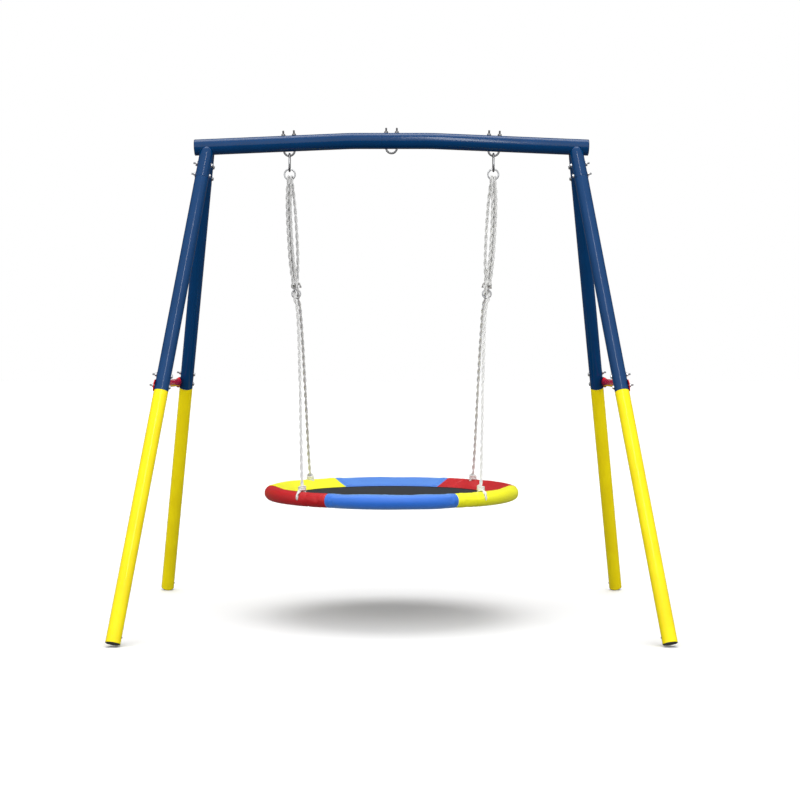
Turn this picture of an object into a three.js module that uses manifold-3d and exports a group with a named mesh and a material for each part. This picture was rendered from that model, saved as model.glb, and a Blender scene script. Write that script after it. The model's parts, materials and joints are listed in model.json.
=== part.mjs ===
// A saucer swing on its own A-frame stand. Millimetres, +Z up.
// Origin: on the ground, under the middle of the beam. X runs along the beam, -Y is the front.
import * as THREE from 'three';
import { mergeVertices } from 'three/addons/utils/BufferGeometryUtils.js';
import Module from 'manifold-3d';

const wasm = await Module();
wasm.setup();

// ---- driving dimensions -------------------------------------------------------------------------

const GAP = 0.3;                    // between faces that touch
const OVERRUN = 1;                  // how far a cut or a joined bar runs past the face it meets
const LEG_SIDES = 12;
const BEAM_SIDES = 14;
const ROD_SIDES = 8;
const BOLT_SIDES = 6;

// stand
const LEG_TOP = { x: 723.7, y: 8, z: 1845.5 };   // where a leg's axis meets the beam
const LEG_FOOT = { x: 980.9, y: 742.6 };         // where it meets the ground
const LEG_RADIUS = 27;
const LEG_WALL = 1.5;
const SWAGE_STEP = 1.9;             // how much smaller a tube's pushed-in end is
const NECK_LENGTH = 4;              // of full wall left inside a leg below its shoulder
const STUB_LENGTH = 140;            // from the beam's axis, along the leg
const SWAGE_TOP = 58;               // how near the beam's axis the upper leg reaches
const STUB_BOLTS = [79, 126];       // along the leg from the beam's axis
const MID_SEAM = 1037;
const MID_BOLTS = [973.5, 1017];
const MID_SWAGE_TOP = 945;

const BEAM_RADIUS = 31.75;
const BEAM_WALL = 1.8;
const BEAM_MID_Z = 1869.5;
const BEAM_HALF_LENGTH = 775;
const BEAM_BEND_X = 160;
const BEAM_BEND_REACH = 30;
const BEAM_SEAM_X = -37;
const BEAM_SWAGE_END_X = 50;
const BEAM_SPIGOT_ROOT = 20;        // how far the pushed-in end starts inside its own half
const BEAM_SWAGE_STEP = 2.2;

const BOLT_RADIUS = 4;
const BOLT_HOLE_RADIUS = 4.9;
const BOLT_HEAD = { radius: 7.5, height: 5.3 };
const BOLT_NUT = { radius: 7.5, height: 6.5 };
const BOLT_TIP = 16;                // how far a bolt's end stands out past the tube
const PLATE_THICKNESS = 3;          // a brace's flattened end

const BRACE_RADIUS = 15;
const BRACE_FLAT_HALF_HEIGHT = 22;
const BRACE_PAST_BOLT = 20;
const BRACE_FLAT_LENGTH = 55;
const BRACE_TRANSITION = 30;
const FLAT_SHARPNESS = 4;           // how square the edges of a flattened end are

const PLUG_THICKNESS = 1.2;
const PLUG_INSERT = 30;
const PLUG_AIR = 0.4;               // between a foot plug and the inside of its leg

// hanging hardware
const UBOLT_RADIUS = 4;
const UBOLT_HALF_SPACING = 21;
const UBOLT_DROP = 21;              // below the beam's underside
const UBOLT_RISE = 20;              // above the beam's top
const UBOLT_HOLE_RADIUS = 6.2;
const HOOK_X = 402;
const HOOK_LENGTH = 68;             // between the middles of its two round ends
const HOOK_BEND = 14;
const HOOK_ROD = 4;
const GATE_LENGTH = 31;
const GATE_PIVOT_UP = 21;           // above the hook's lowest centreline point
const GATE_TONGUE = 3;
const TONGUE_DEPTH = 5;
const GATE_SLOT_HEIGHT = 11;
const GATE_PIN_RADIUS = 1.2;
const GATE_AIR = 0.6;               // between the gate's two ends and the hook's rod
const GATE_HUB_INSET = 0.8;         // how much narrower than the rod the gate's hub is
const RING_STEPS = 16;
const TOP_RING = { radius: 20.85, rod: 3 };
const LOW_RING = { radius: 16.75, rod: 2.75, z: 1266.5 };
const ROPE_RADIUS = 6;
const ROPE_AIM = { x: 372.5, y: 14, z: 1244.5 };   // the right rear rope enters the lower ring here
const TAIL_RADIUS = 4.5;

// seat
const RIM_RADIUS = 472;
const RIM_Z = 485.5;
const RIM_TUBE = 12.5;
const RIM_STEPS = 36;
const RIM_SIDES = 6;
const PAD_RADIUS = 27;
const PAD_BORE = 14.2;
const PAD_SIDES = 12;
const SKIRT = { from: 377, to: 463.5, low: 480, edge: 481.7, top: 510.5 };   // a cover's slope
const MAT = { radius: 444.3, faceRadius: 372, step: 0.3, top: 479.7, thickness: 4 };
const TIE_REACH = 57;               // from the rim's middle to where a rope bends above its knot
const TIE_KNOT = { radius: 15.5, from: 28.5, to: 53 };
const KNOT_SIDES = 8;
const KNOT_AIR = 0.6;
const TIE_GROOVE = 6.8;
const FLEX_GAP = 1.75;              // half the space between a rope's end and its knot

// ---- helpers ------------------------------------------------------------------------------------

// A path straight from point to point, with one cross-section at each point.
class PointPath extends THREE.Curve {
  constructor(points) {
    super();
    this.points = points;
  }

  getPoint(t) {
    const along = t * (this.points.length - 1);
    const index = Math.min(Math.floor(along), this.points.length - 2);
    const next = this.points[index + 1];
    return new THREE.Vector3().lerpVectors(this.points[index], next, along - index);
  }

  getUtoTmapping(u) {
    return u;
  }

  getTangent(t) {
    const last = this.points.length - 1;
    const index = Math.round(t * last);
    const tangent = new THREE.Vector3();
    if (index > 0) {
      tangent.add(this.points[index].clone().sub(this.points[index - 1]).normalize());
    }
    if (index < last) {
      tangent.add(this.points[index + 1].clone().sub(this.points[index]).normalize());
    }
    return tangent.normalize();
  }
}

// A closed geometry as a solid that can be joined and cut.
function solid(geometry) {
  const bare = geometry.clone();
  bare.deleteAttribute('normal');
  bare.deleteAttribute('uv');
  const merged = mergeVertices(bare, 1e-4);
  const mesh = new wasm.Mesh({
    numProp: 3,
    vertProperties: new Float32Array(merged.attributes.position.array),
    triVerts: new Uint32Array(merged.index.array),
  });
  return new wasm.Manifold(mesh);
}

function geometryOf(shape) {
  const mesh = shape.getMesh();
  const geometry = new THREE.BufferGeometry();
  geometry.setAttribute('position', new THREE.BufferAttribute(mesh.vertProperties, 3));
  geometry.setIndex(new THREE.BufferAttribute(mesh.triVerts, 1));
  geometry.computeVertexNormals();
  return geometry;
}

// A round bar along Z.
function rod(radius, from, to, sides = ROD_SIDES) {
  const geometry = new THREE.CylinderGeometry(radius, radius, to - from, sides);
  return geometry.rotateX(Math.PI / 2).translate(0, 0, (from + to) / 2);
}

// A round bar along X.
function crossRod(radius, from, to, sides = ROD_SIDES) {
  return rod(radius, from, to, sides).rotateY(Math.PI / 2);
}

// A round bar that follows a curve, with the given number of straight steps.
function bar(curve, steps, radius, sides = ROD_SIDES) {
  const section = new THREE.Shape();
  for (let i = 0; i < sides; i += 1) {
    const angle = (2 * Math.PI * i) / sides;
    const corner = [radius * Math.cos(angle), radius * Math.sin(angle)];
    if (i === 0) section.moveTo(...corner);
    else section.lineTo(...corner);
  }
  section.closePath();
  return new THREE.ExtrudeGeometry(section, { steps, extrudePath: curve });
}

// A round bar that follows a list of points.
function sweep(points, radius, sides = ROD_SIDES) {
  return bar(new PointPath(points), points.length - 1, radius, sides);
}

function vector(x, y, z) {
  return new THREE.Vector3(x, y, z);
}

function material(color, roughness, metalness) {
  return new THREE.MeshStandardMaterial({ color, roughness, metalness });
}

const finishes = {
  frame_blue: () => material(0x23507f, 0.35, 0.1),
  leg_yellow: () => material(0xf7e417, 0.35, 0.1),
  brace_red: () => material(0xd21a28, 0.35, 0.1),
  zinc: () => material(0x8a8d90, 0.35, 0.9),
  black_plastic: () => material(0x1b1b1d, 0.6, 0),
  rope: () => material(0xdedede, 0.85, 0),
  cover_blue: () => material(0x2f6fdd, 0.75, 0),
  cover_yellow: () => material(0xf6ea1e, 0.75, 0),
  cover_red: () => material(0xc9282d, 0.75, 0),
  mat: () => material(0x3e3e40, 0.9, 0),
};

const group = new THREE.Group();

function place(name, finish, geometry, parent = group) {
  const mesh = new THREE.Mesh(geometry, finishes[finish]());
  mesh.name = name;
  parent.add(mesh);
  return mesh;
}

const SIDES = [['left', -1], ['right', 1]];
const ENDS = [['front', -1], ['rear', 1]];

// ---- legs ---------------------------------------------------------------------------------------

// A leg's own frame: origin on the beam's axis, z up along the leg, x out to the side.
function legMatrix(side, end) {
  const top = vector(side * LEG_TOP.x, end * LEG_TOP.y, LEG_TOP.z);
  const up = top.clone().sub(vector(side * LEG_FOOT.x, end * LEG_FOOT.y, 0)).normalize();
  const out = vector(side * up.z, 0, Math.abs(up.x)).normalize();
  const across = up.clone().cross(out);
  return new THREE.Matrix4().makeBasis(out, across, up).setPosition(top);
}

const legUp = vector(0, 0, 1).transformDirection(legMatrix(1, 1));
const legTilt = Math.acos(legUp.z);
const LEG_END = (LEG_TOP.z - LEG_RADIUS * Math.sin(legTilt)) / legUp.z - PLUG_THICKNESS;

function legGroup(side, end) {
  const holder = new THREE.Group();
  holder.applyMatrix4(legMatrix(side, end));
  group.add(holder);
  return holder;
}

// A leg tube with a smaller pushed-in top, drilled across; places are distances below the beam's axis.
function legTube(top, shoulder, bottom, holes) {
  const outer = LEG_RADIUS;
  const swage = LEG_RADIUS - SWAGE_STEP;
  const neck = -shoulder - NECK_LENGTH;
  let shape = solid(rod(outer, -bottom, -shoulder - GAP, LEG_SIDES));
  shape = shape.add(solid(rod(swage, -shoulder - OVERRUN, -top, LEG_SIDES)));
  shape = shape.subtract(solid(rod(outer - LEG_WALL, -bottom - OVERRUN, neck, LEG_SIDES)));
  shape = shape.subtract(solid(rod(swage - LEG_WALL, neck - OVERRUN, -top + OVERRUN, LEG_SIDES)));
  for (const hole of holes) {
    const drill = crossRod(BOLT_HOLE_RADIUS, -2 * outer, 2 * outer, BOLT_SIDES);
    shape = shape.subtract(solid(drill.translate(0, 0, -hole)));
  }
  return geometryOf(shape);
}

function footPlug() {
  const flange = rod(LEG_RADIUS, -LEG_END - PLUG_THICKNESS, -LEG_END - GAP, LEG_SIDES);
  const insertRadius = LEG_RADIUS - LEG_WALL - PLUG_AIR;
  const insert = rod(insertRadius, -LEG_END - OVERRUN, -LEG_END + PLUG_INSERT, LEG_SIDES);
  return geometryOf(solid(flange).add(solid(insert)));
}

// A bolt across the leg: head on the inner side, nut and thread end on the outer side.
function throughBolt(height, grip) {
  const headFace = -LEG_RADIUS - GAP;
  const nutFace = LEG_RADIUS + GAP + grip;
  const tip = nutFace + BOLT_TIP;
  const head = crossRod(BOLT_HEAD.radius, headFace - BOLT_HEAD.height, headFace, BOLT_SIDES);
  const nut = crossRod(BOLT_NUT.radius, nutFace, nutFace + BOLT_NUT.height, BOLT_SIDES);
  const shank = crossRod(BOLT_RADIUS, headFace - OVERRUN, tip, BOLT_SIDES);
  const shape = solid(shank).add(solid(head)).add(solid(nut));
  return geometryOf(shape).translate(0, 0, -height);
}

const upperLeg = legTube(SWAGE_TOP, STUB_LENGTH, MID_SEAM, [...STUB_BOLTS, ...MID_BOLTS]);
const lowerLeg = legTube(MID_SWAGE_TOP, MID_SEAM, LEG_END, MID_BOLTS);

for (const [sideName, side] of SIDES) {
  for (const [endName, end] of ENDS) {
    const corner = `${sideName}_${endName}`;
    const holder = legGroup(side, end);
    place(`upper_leg_${corner}`, 'frame_blue', upperLeg.clone(), holder);
    place(`lower_leg_${corner}`, 'leg_yellow', lowerLeg.clone(), holder);
    place(`foot_plug_${corner}`, 'black_plastic', footPlug(), holder);
    place(`stub_bolt_upper_${corner}`, 'zinc', throughBolt(STUB_BOLTS[0], 0), holder);
    place(`stub_bolt_lower_${corner}`, 'zinc', throughBolt(STUB_BOLTS[1], 0), holder);
    place(`mid_bolt_upper_${corner}`, 'zinc', throughBolt(MID_BOLTS[0], 0), holder);
    const grip = PLATE_THICKNESS + GAP;
    place(`mid_bolt_lower_${corner}`, 'zinc', throughBolt(MID_BOLTS[1], grip), holder);
  }
}

// ---- beam ---------------------------------------------------------------------------------------

const beamSlope = (BEAM_MID_Z - LEG_TOP.z) / (LEG_TOP.x - BEAM_BEND_X);

function beamZ(x) {
  return BEAM_MID_Z - Math.max(0, Math.abs(x) - BEAM_BEND_X) * beamSlope;
}

// One beam half's middle line, from x = from (near the joint) out to x = to, on the given side.
function beamLine(side, from, to) {
  const nearBend = BEAM_BEND_X - BEAM_BEND_REACH;
  const farBend = BEAM_BEND_X + BEAM_BEND_REACH;
  const bend = new THREE.QuadraticBezierCurve3(
    vector(side * nearBend, 0, BEAM_MID_Z),
    vector(side * BEAM_BEND_X, 0, BEAM_MID_Z),
    vector(side * farBend, 0, beamZ(farBend)),
  );
  return [
    vector(from, 0, BEAM_MID_Z),
    ...bend.getPoints(2),
    vector(side * to, 0, beamZ(to)),
  ];
}

function stubShapes(side, radius, from, to) {
  const shapes = ENDS.map(([, end]) => {
    return solid(rod(radius, -to, -from, LEG_SIDES).applyMatrix4(legMatrix(side, end)));
  });
  return shapes[0].add(shapes[1]);
}

// An eye made by a rod bent in a U, in a frame with its origin on the beam's axis.
function uboltPoints() {
  const arcCentre = -BEAM_RADIUS - UBOLT_DROP + UBOLT_RADIUS + UBOLT_HALF_SPACING;
  const arc = new THREE.EllipseCurve(
    0, arcCentre, UBOLT_HALF_SPACING, UBOLT_HALF_SPACING, Math.PI, 2 * Math.PI,
  );
  const legTop = BEAM_RADIUS + UBOLT_RISE;
  return [
    vector(-UBOLT_HALF_SPACING, 0, legTop),
    ...arc.getPoints(6).map((point) => vector(point.x, 0, point.y)),
    vector(UBOLT_HALF_SPACING, 0, legTop),
  ];
}

const uboltSlope = Math.atan(beamSlope);
const uboltBottom = BEAM_RADIUS + UBOLT_DROP - UBOLT_RADIUS;
const UBOLT_X = HOOK_X + uboltBottom * Math.sin(uboltSlope);

// A U-bolt's own frame; station is -1, 0 or 1 for the left, centre and right one.
function uboltMatrix(station) {
  const matrix = new THREE.Matrix4().makeRotationY(station * uboltSlope);
  return matrix.setPosition(station * UBOLT_X, 0, beamZ(station * UBOLT_X));
}

function drillForUbolt(shape, station) {
  let drilled = shape;
  for (const leg of [-UBOLT_HALF_SPACING, UBOLT_HALF_SPACING]) {
    const drill = rod(UBOLT_HOLE_RADIUS, -2 * BEAM_RADIUS, 2 * BEAM_RADIUS, BOLT_SIDES);
    drill.translate(leg, 0, 0).applyMatrix4(uboltMatrix(station));
    drilled = drilled.subtract(solid(drill));
  }
  return drilled;
}

function drillStubs(shape, side) {
  let drilled = shape;
  for (const [, end] of ENDS) {
    for (const hole of STUB_BOLTS) {
      const drill = crossRod(BOLT_HOLE_RADIUS, -2 * LEG_RADIUS, 2 * LEG_RADIUS, BOLT_SIDES);
      drill.translate(0, 0, -hole).applyMatrix4(legMatrix(side, end));
      drilled = drilled.subtract(solid(drill));
    }
  }
  return drilled;
}

// A straight bar in the middle of the beam.
function beamBar(from, to, radius) {
  const ends = [vector(from, 0, BEAM_MID_Z), vector(to, 0, BEAM_MID_Z)];
  return solid(sweep(ends, radius, BEAM_SIDES));
}

function beamHalf(side) {
  const inner = BEAM_RADIUS - BEAM_WALL;
  const seam = side > 0 ? BEAM_SEAM_X : BEAM_SEAM_X - GAP;
  let shape = stubShapes(side, LEG_RADIUS, 0, STUB_LENGTH);
  const stubBore = LEG_RADIUS - LEG_WALL;
  shape = shape.subtract(stubShapes(side, stubBore, -OVERRUN, STUB_LENGTH + OVERRUN));
  shape = shape.add(solid(sweep(beamLine(side, seam, BEAM_HALF_LENGTH), BEAM_RADIUS, BEAM_SIDES)));
  const boreFrom = seam - (side > 0 ? OVERRUN : NECK_LENGTH);
  const boreLine = beamLine(side, boreFrom, BEAM_HALF_LENGTH + OVERRUN);
  shape = shape.subtract(solid(sweep(boreLine, inner, BEAM_SIDES)));
  if (side < 0) {
    const swage = BEAM_RADIUS - BEAM_SWAGE_STEP;
    const root = seam - BEAM_SPIGOT_ROOT;
    shape = shape.add(beamBar(root, BEAM_SWAGE_END_X, swage));
    const boreEnd = BEAM_SWAGE_END_X + OVERRUN;
    shape = shape.subtract(beamBar(root - OVERRUN, boreEnd, swage - BEAM_WALL));
  }
  shape = drillForUbolt(drillForUbolt(shape, side), 0);
  return geometryOf(drillStubs(shape, side));
}

place('left_beam', 'frame_blue', beamHalf(-1));
place('right_beam', 'frame_blue', beamHalf(1));

function ubolt() {
  let shape = solid(sweep(uboltPoints(), UBOLT_RADIUS));
  for (const leg of [-UBOLT_HALF_SPACING, UBOLT_HALF_SPACING]) {
    const nutFace = BEAM_RADIUS + GAP;
    const nut = rod(BOLT_NUT.radius, nutFace, nutFace + BOLT_NUT.height, BOLT_SIDES);
    shape = shape.add(solid(nut.translate(leg, 0, 0)));
  }
  return geometryOf(shape);
}

for (const [name, station] of [['left', -1], ['centre', 0], ['right', 1]]) {
  place(`ubolt_${name}`, 'zinc', ubolt()).applyMatrix4(uboltMatrix(station));
}

// ---- side braces --------------------------------------------------------------------------------

// A round tube whose two ends are pressed flat, along Y, in the legs' tilted side plane.
function brace(halfSpan) {
  const halfLength = halfSpan + BRACE_PAST_BOLT;
  const flatFrom = halfLength - BRACE_FLAT_LENGTH;
  const roundTo = flatFrom - BRACE_TRANSITION;
  const stations = [-halfLength, -flatFrom, -roundTo, roundTo, flatFrom, halfLength];
  const geometry = new THREE.CylinderGeometry(1, 1, 1, LEG_SIDES, stations.length - 1);
  const position = geometry.attributes.position;
  for (let i = 0; i < position.count; i += 1) {
    const station = Math.round((position.getY(i) + 0.5) * (stations.length - 1));
    const round = Math.abs(stations[station]) <= roundTo;
    const flat = THREE.MathUtils.clamp(position.getX(i) * FLAT_SHARPNESS, -1, 1);
    const x = round ? position.getX(i) * BRACE_RADIUS : (flat * PLATE_THICKNESS) / 2;
    const halfTall = round ? BRACE_RADIUS : BRACE_FLAT_HALF_HEIGHT;
    position.setXYZ(i, x, stations[station], position.getZ(i) * halfTall);
  }
  let shape = solid(geometry);
  for (const end of [-1, 1]) {
    const drill = crossRod(BOLT_HOLE_RADIUS, -BRACE_RADIUS, BRACE_RADIUS, BOLT_SIDES);
    shape = shape.subtract(solid(drill.translate(0, end * halfSpan, 0)));
  }
  return geometryOf(shape);
}

for (const [sideName, side] of SIDES) {
  const matrix = legMatrix(side, 1);
  const bolt = vector(LEG_RADIUS + GAP + PLATE_THICKNESS / 2, 0, -MID_BOLTS[1]).applyMatrix4(matrix);
  const out = vector(1, 0, 0).transformDirection(matrix);
  const along = vector(0, side, 0);
  const frame = new THREE.Matrix4().makeBasis(out, along, out.clone().cross(along));
  frame.setPosition(bolt.x, 0, bolt.z);
  place(`side_brace_${sideName}`, 'brace_red', brace(bolt.y)).applyMatrix4(frame);
}

// ---- snap hooks and rings -----------------------------------------------------------------------

const swingZ = beamZ(UBOLT_X) - uboltBottom * Math.cos(uboltSlope);
const hookTop = swingZ + UBOLT_RADIUS + HOOK_ROD + GAP;
const hookBottom = hookTop - HOOK_LENGTH;
const gatePivot = hookBottom + GATE_PIVOT_UP;

// The hook's rod in the YZ plane: from above the gate, over the top, down the back, round to the gate.
function hookBody() {
  const topCentre = hookTop - HOOK_BEND;
  const bottomCentre = hookBottom + HOOK_BEND;
  const over = new THREE.EllipseCurve(0, topCentre, HOOK_BEND, HOOK_BEND, Math.PI, 0, true);
  const under = new THREE.EllipseCurve(0, bottomCentre, HOOK_BEND, HOOK_BEND, 0, -Math.PI, true);
  const points = [
    vector(0, -HOOK_BEND, gatePivot + GATE_LENGTH + GATE_AIR),
    ...over.getPoints(6).map((point) => vector(0, point.x, point.y)),
    ...under.getPoints(6).map((point) => vector(0, point.x, point.y)),
    vector(0, -HOOK_BEND, gatePivot - HOOK_ROD - GATE_AIR),
  ];
  const tongue = new THREE.BoxGeometry(GATE_TONGUE, TONGUE_DEPTH, 2 * HOOK_ROD);
  tongue.translate(0, -HOOK_BEND, gatePivot - HOOK_ROD / 2);
  const pin = crossRod(GATE_PIN_RADIUS, -HOOK_ROD, HOOK_ROD).translate(0, -HOOK_BEND, gatePivot);
  return solid(sweep(points, HOOK_ROD)).add(solid(tongue)).add(solid(pin));
}

// The gate: a rod with a slot at its foot that straddles the hook's tongue and turns on its pin.
function hookGate() {
  let shape = solid(rod(HOOK_ROD, 0, GATE_LENGTH));
  const hub = HOOK_ROD - GATE_HUB_INSET;
  shape = shape.add(solid(crossRod(HOOK_ROD, -hub, hub)));
  const slot = new THREE.BoxGeometry(GATE_TONGUE + 2 * GAP, 3 * HOOK_ROD, GATE_SLOT_HEIGHT);
  shape = shape.subtract(solid(slot));
  const pinHole = crossRod(GATE_PIN_RADIUS + GAP, -2 * HOOK_ROD, 2 * HOOK_ROD);
  return shape.subtract(solid(pinHole));
}

const ringTop = hookBottom + HOOK_ROD + TOP_RING.rod + GAP;

// ---- the rim and where the ropes meet it --------------------------------------------------------

const tieAngle = Math.PI / 4;
const rimPoint = vector(RIM_RADIUS * Math.sin(tieAngle), RIM_RADIUS * Math.cos(tieAngle), RIM_Z);
const ropeAim = vector(ROPE_AIM.x, ROPE_AIM.y, ROPE_AIM.z);
const ropeLine = ropeAim.clone().sub(rimPoint).normalize();
const flexPoint = rimPoint.clone().addScaledVector(ropeLine, TIE_REACH);

// How far out the hanging line is at a height, on the right-hand side.
function hangX(z) {
  return flexPoint.x + ((HOOK_X - flexPoint.x) * (z - flexPoint.z)) / (hookBottom - flexPoint.z);
}

function hangPoint(side, [outward, y, z]) {
  return vector(side * (hangX(z) + outward), y, z);
}

const hangTilt = Math.atan2(HOOK_X - flexPoint.x, hookBottom - flexPoint.z);

for (const [sideName, side] of SIDES) {
  const hook = place(`snap_hook_${sideName}`, 'zinc', geometryOf(hookBody()));
  hook.position.x = side * HOOK_X;
  const gate = place(`hook_gate_${sideName}`, 'zinc', geometryOf(hookGate()));
  gate.position.set(side * HOOK_X, -HOOK_BEND, gatePivot);
  const topCentre = ringTop - TOP_RING.radius;
  for (const [name, size, z] of [['top', TOP_RING, topCentre], ['lower', LOW_RING, LOW_RING.z]]) {
    const ring = new THREE.TorusGeometry(size.radius, size.rod, ROD_SIDES, RING_STEPS);
    const mesh = place(`${name}_ring_${sideName}`, 'zinc', ring.rotateX(Math.PI / 2));
    mesh.position.set(side * hangX(z), 0, z);
    mesh.rotation.y = side * hangTilt;
  }
}

// ---- ropes --------------------------------------------------------------------------------------

// Each rope's route as [outward from the hanging line, y, z]: up from the seat, through the lower
// ring, up behind or in front, over the top ring's lower bar and back down to its knot.
const FRONT_ROUTE = [
  [-1, -22.5, 1221.5],
  [6, -14, 1244.5],
  [6.3, -8.5, 1256.5],
  [6.3, 0, 1266.5],
  [6.3, 8.5, 1276.5],
  [7, 12, 1290.5],
  [8, 9, 1318.5],
  [10, 7, 1406.5],
  [10, 7, 1606.5],
  [8, 7.5, 1686.5],
  [6.4, 10, 1709.5],
  [6.3, 10.05, 1719.1],
  [6.3, 6.6, 1725.5],
  [6.3, 0, 1728.1],
  [6.3, -6.6, 1725.5],
  [6.3, -10.05, 1719.1],
  [7, -10, 1709.5],
  [11, -7.5, 1686.5],
  [17, -7, 1606.5],
  [17, -7, 1406.5],
  [12.5, -7.5, 1336.5],
  [9, -7, 1308.5],
];
const REAR_ROUTE = [
  [-10, 23.5, 1221.5],
  [-6, 14, 1244.5],
  [-6.3, 8.5, 1256.5],
  [-6.3, 0, 1266.5],
  [-6.3, -8.5, 1276.5],
  [-6, -12, 1290.5],
  [-5, -9, 1318.5],
  [3.5, -7, 1406.5],
  [3.5, -7, 1606.5],
  [-3, -7.5, 1686.5],
  [-6.2, -10, 1709.5],
  [-6.3, -10.05, 1719.1],
  [-6.3, -6.6, 1725.5],
  [-6.3, 0, 1728.1],
  [-6.3, 6.6, 1725.5],
  [-6.3, 10.05, 1719.1],
  [-7, 10, 1709.5],
  [-9, 7.5, 1686.5],
  [-13.5, 7, 1606.5],
  [-13.5, 7, 1406.5],
  [-8.5, 7.5, 1336.5],
  [-5.5, 7, 1308.5],
];
const FRONT_TAIL = [[11, -6, 1307.5], [14, -10, 1299.5], [13.5, -11, 1286.5]];
const REAR_TAIL = [[-8, -4, 1307.5], [-14, -8, 1306.5], [-18, -10, 1299.5], [-18.5, -10, 1290.5]];
const KNOT = { outward: 6.2, deep: 14, tall: 9, z: 1303.5 };
const FRONT_KNOT = 8.8;
const REAR_KNOT = -4.6;

function rope(side, end, route, tail, knotOutward) {
  const foot = flexPoint.clone().addScaledVector(ropeLine, FLEX_GAP);
  const start = vector(side * foot.x, end * foot.y, foot.z);
  const points = [start, ...route.map((point) => hangPoint(side, point))];
  const lump = new THREE.SphereGeometry(1, ROD_SIDES, 4).scale(KNOT.outward, KNOT.deep, KNOT.tall);
  const centre = hangPoint(side, [knotOutward, 0, KNOT.z]);
  lump.translate(centre.x, centre.y, centre.z);
  const tailPoints = tail.map((point) => hangPoint(side, point));
  return solid(sweep(points, ROPE_RADIUS))
    .add(solid(lump))
    .add(solid(sweep(tailPoints, TAIL_RADIUS)));
}

// The loop round the rim's tube as [outward, up] from the tube's middle, both ends in the knot.
const TIE_LOOP = [
  [3, 36],
  [15, 28.5],
  [24.5, 18],
  [26, 7],
  [20.5, -5],
  [13, -15.8],
  [0, -20.8],
  [-10, -17.5],
  [-18, -10],
  [-20.6, 1],
  [-18.5, 13],
  [-12, 26],
  [-3, 36],
];

function tiePoints(side, end) {
  const middle = vector(side * rimPoint.x, end * rimPoint.y, rimPoint.z);
  const radial = vector(middle.x, middle.y, 0).normalize();
  const lean = vector(side * ropeLine.x, end * ropeLine.y, 0).divideScalar(ropeLine.z);
  return TIE_LOOP.map(([outward, up]) => {
    const point = middle.clone().addScaledVector(radial, outward);
    point.addScaledVector(lean, Math.max(0, up));
    point.z += up;
    return point;
  });
}

// A round bar on the rope's line; from and to are distances from the rim tube's middle.
function ropeLineRod(side, end, radius, from, to, sides) {
  const middle = vector(side * rimPoint.x, end * rimPoint.y, rimPoint.z);
  const line = vector(side * ropeLine.x, end * ropeLine.y, ropeLine.z);
  const turn = new THREE.Quaternion().setFromUnitVectors(vector(0, 0, 1), line);
  const matrix = new THREE.Matrix4().compose(middle, turn, vector(1, 1, 1));
  return rod(radius, from, to, sides).applyMatrix4(matrix);
}

function tie(side, end) {
  const knot = ropeLineRod(side, end, TIE_KNOT.radius, TIE_KNOT.from, TIE_KNOT.to, KNOT_SIDES);
  const neckFrom = TIE_KNOT.to - OVERRUN;
  const neck = ropeLineRod(side, end, ROPE_RADIUS, neckFrom, TIE_REACH - FLEX_GAP, ROD_SIDES);
  return solid(sweep(tiePoints(side, end), ROPE_RADIUS)).add(solid(knot)).add(solid(neck));
}

// The space a tie takes in a cover, with a little air round it.
function tieRoom(side, end) {
  const from = TIE_KNOT.from - KNOT_AIR;
  const knot = ropeLineRod(side, end, TIE_KNOT.radius + KNOT_AIR, from, TIE_KNOT.to, KNOT_SIDES);
  return solid(sweep(tiePoints(side, end), TIE_GROOVE)).add(solid(knot));
}

for (const [sideName, side] of SIDES) {
  const front = rope(side, -1, FRONT_ROUTE, FRONT_TAIL, FRONT_KNOT);
  const rear = rope(side, 1, REAR_ROUTE, REAR_TAIL, REAR_KNOT);
  place(`rope_${sideName}_front`, 'rope', geometryOf(front));
  place(`rope_${sideName}_rear`, 'rope', geometryOf(rear));
  for (const [endName, end] of ENDS) {
    place(`tie_${sideName}_${endName}`, 'rope', geometryOf(tie(side, end)));
  }
}

// ---- seat ---------------------------------------------------------------------------------------

const rim = new THREE.TorusGeometry(RIM_RADIUS, RIM_TUBE, RIM_SIDES, RIM_STEPS);
place('seat_ring', 'zinc', rim).position.z = RIM_Z;

// The rim's middle line between two angles.
class RimArc extends THREE.Curve {
  constructor(from, to) {
    super();
    this.from = from;
    this.to = to;
  }

  getPoint(t) {
    const angle = THREE.MathUtils.lerp(this.from, this.to, t);
    return vector(RIM_RADIUS * Math.cos(angle), RIM_RADIUS * Math.sin(angle), RIM_Z);
  }
}

// The slope from a cover's round top down to its thin edge on the mat, as [radius, height].
const SKIRT_OUTLINE = [
  [SKIRT.from, SKIRT.low],
  [SKIRT.to, SKIRT.low],
  [SKIRT.to, SKIRT.top],
  [SKIRT.from, SKIRT.edge],
];

// A body that follows a piece of the rim, with the given outline.
function alongRim(line, outline) {
  const corners = outline.map(([radius, z]) => new THREE.Vector2(RIM_Z - z, RIM_RADIUS - radius));
  const options = { steps: COVER_STEPS, extrudePath: line };
  return solid(new THREE.ExtrudeGeometry(new THREE.Shape(corners), options));
}

function cover(from) {
  const span = (2 * Math.PI) / COVERS.length;
  const trim = GAP / RIM_RADIUS;
  const past = (2 * OVERRUN) / RIM_RADIUS;
  const padLine = new RimArc(from + trim, from + span - trim);
  const boreLine = new RimArc(from - past, from + span + past);
  const pad = solid(bar(padLine, COVER_STEPS, PAD_RADIUS, PAD_SIDES));
  const whole = pad.add(alongRim(padLine, SKIRT_OUTLINE));
  return whole.subtract(solid(bar(boreLine, COVER_STEPS, PAD_BORE)));
}

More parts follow.
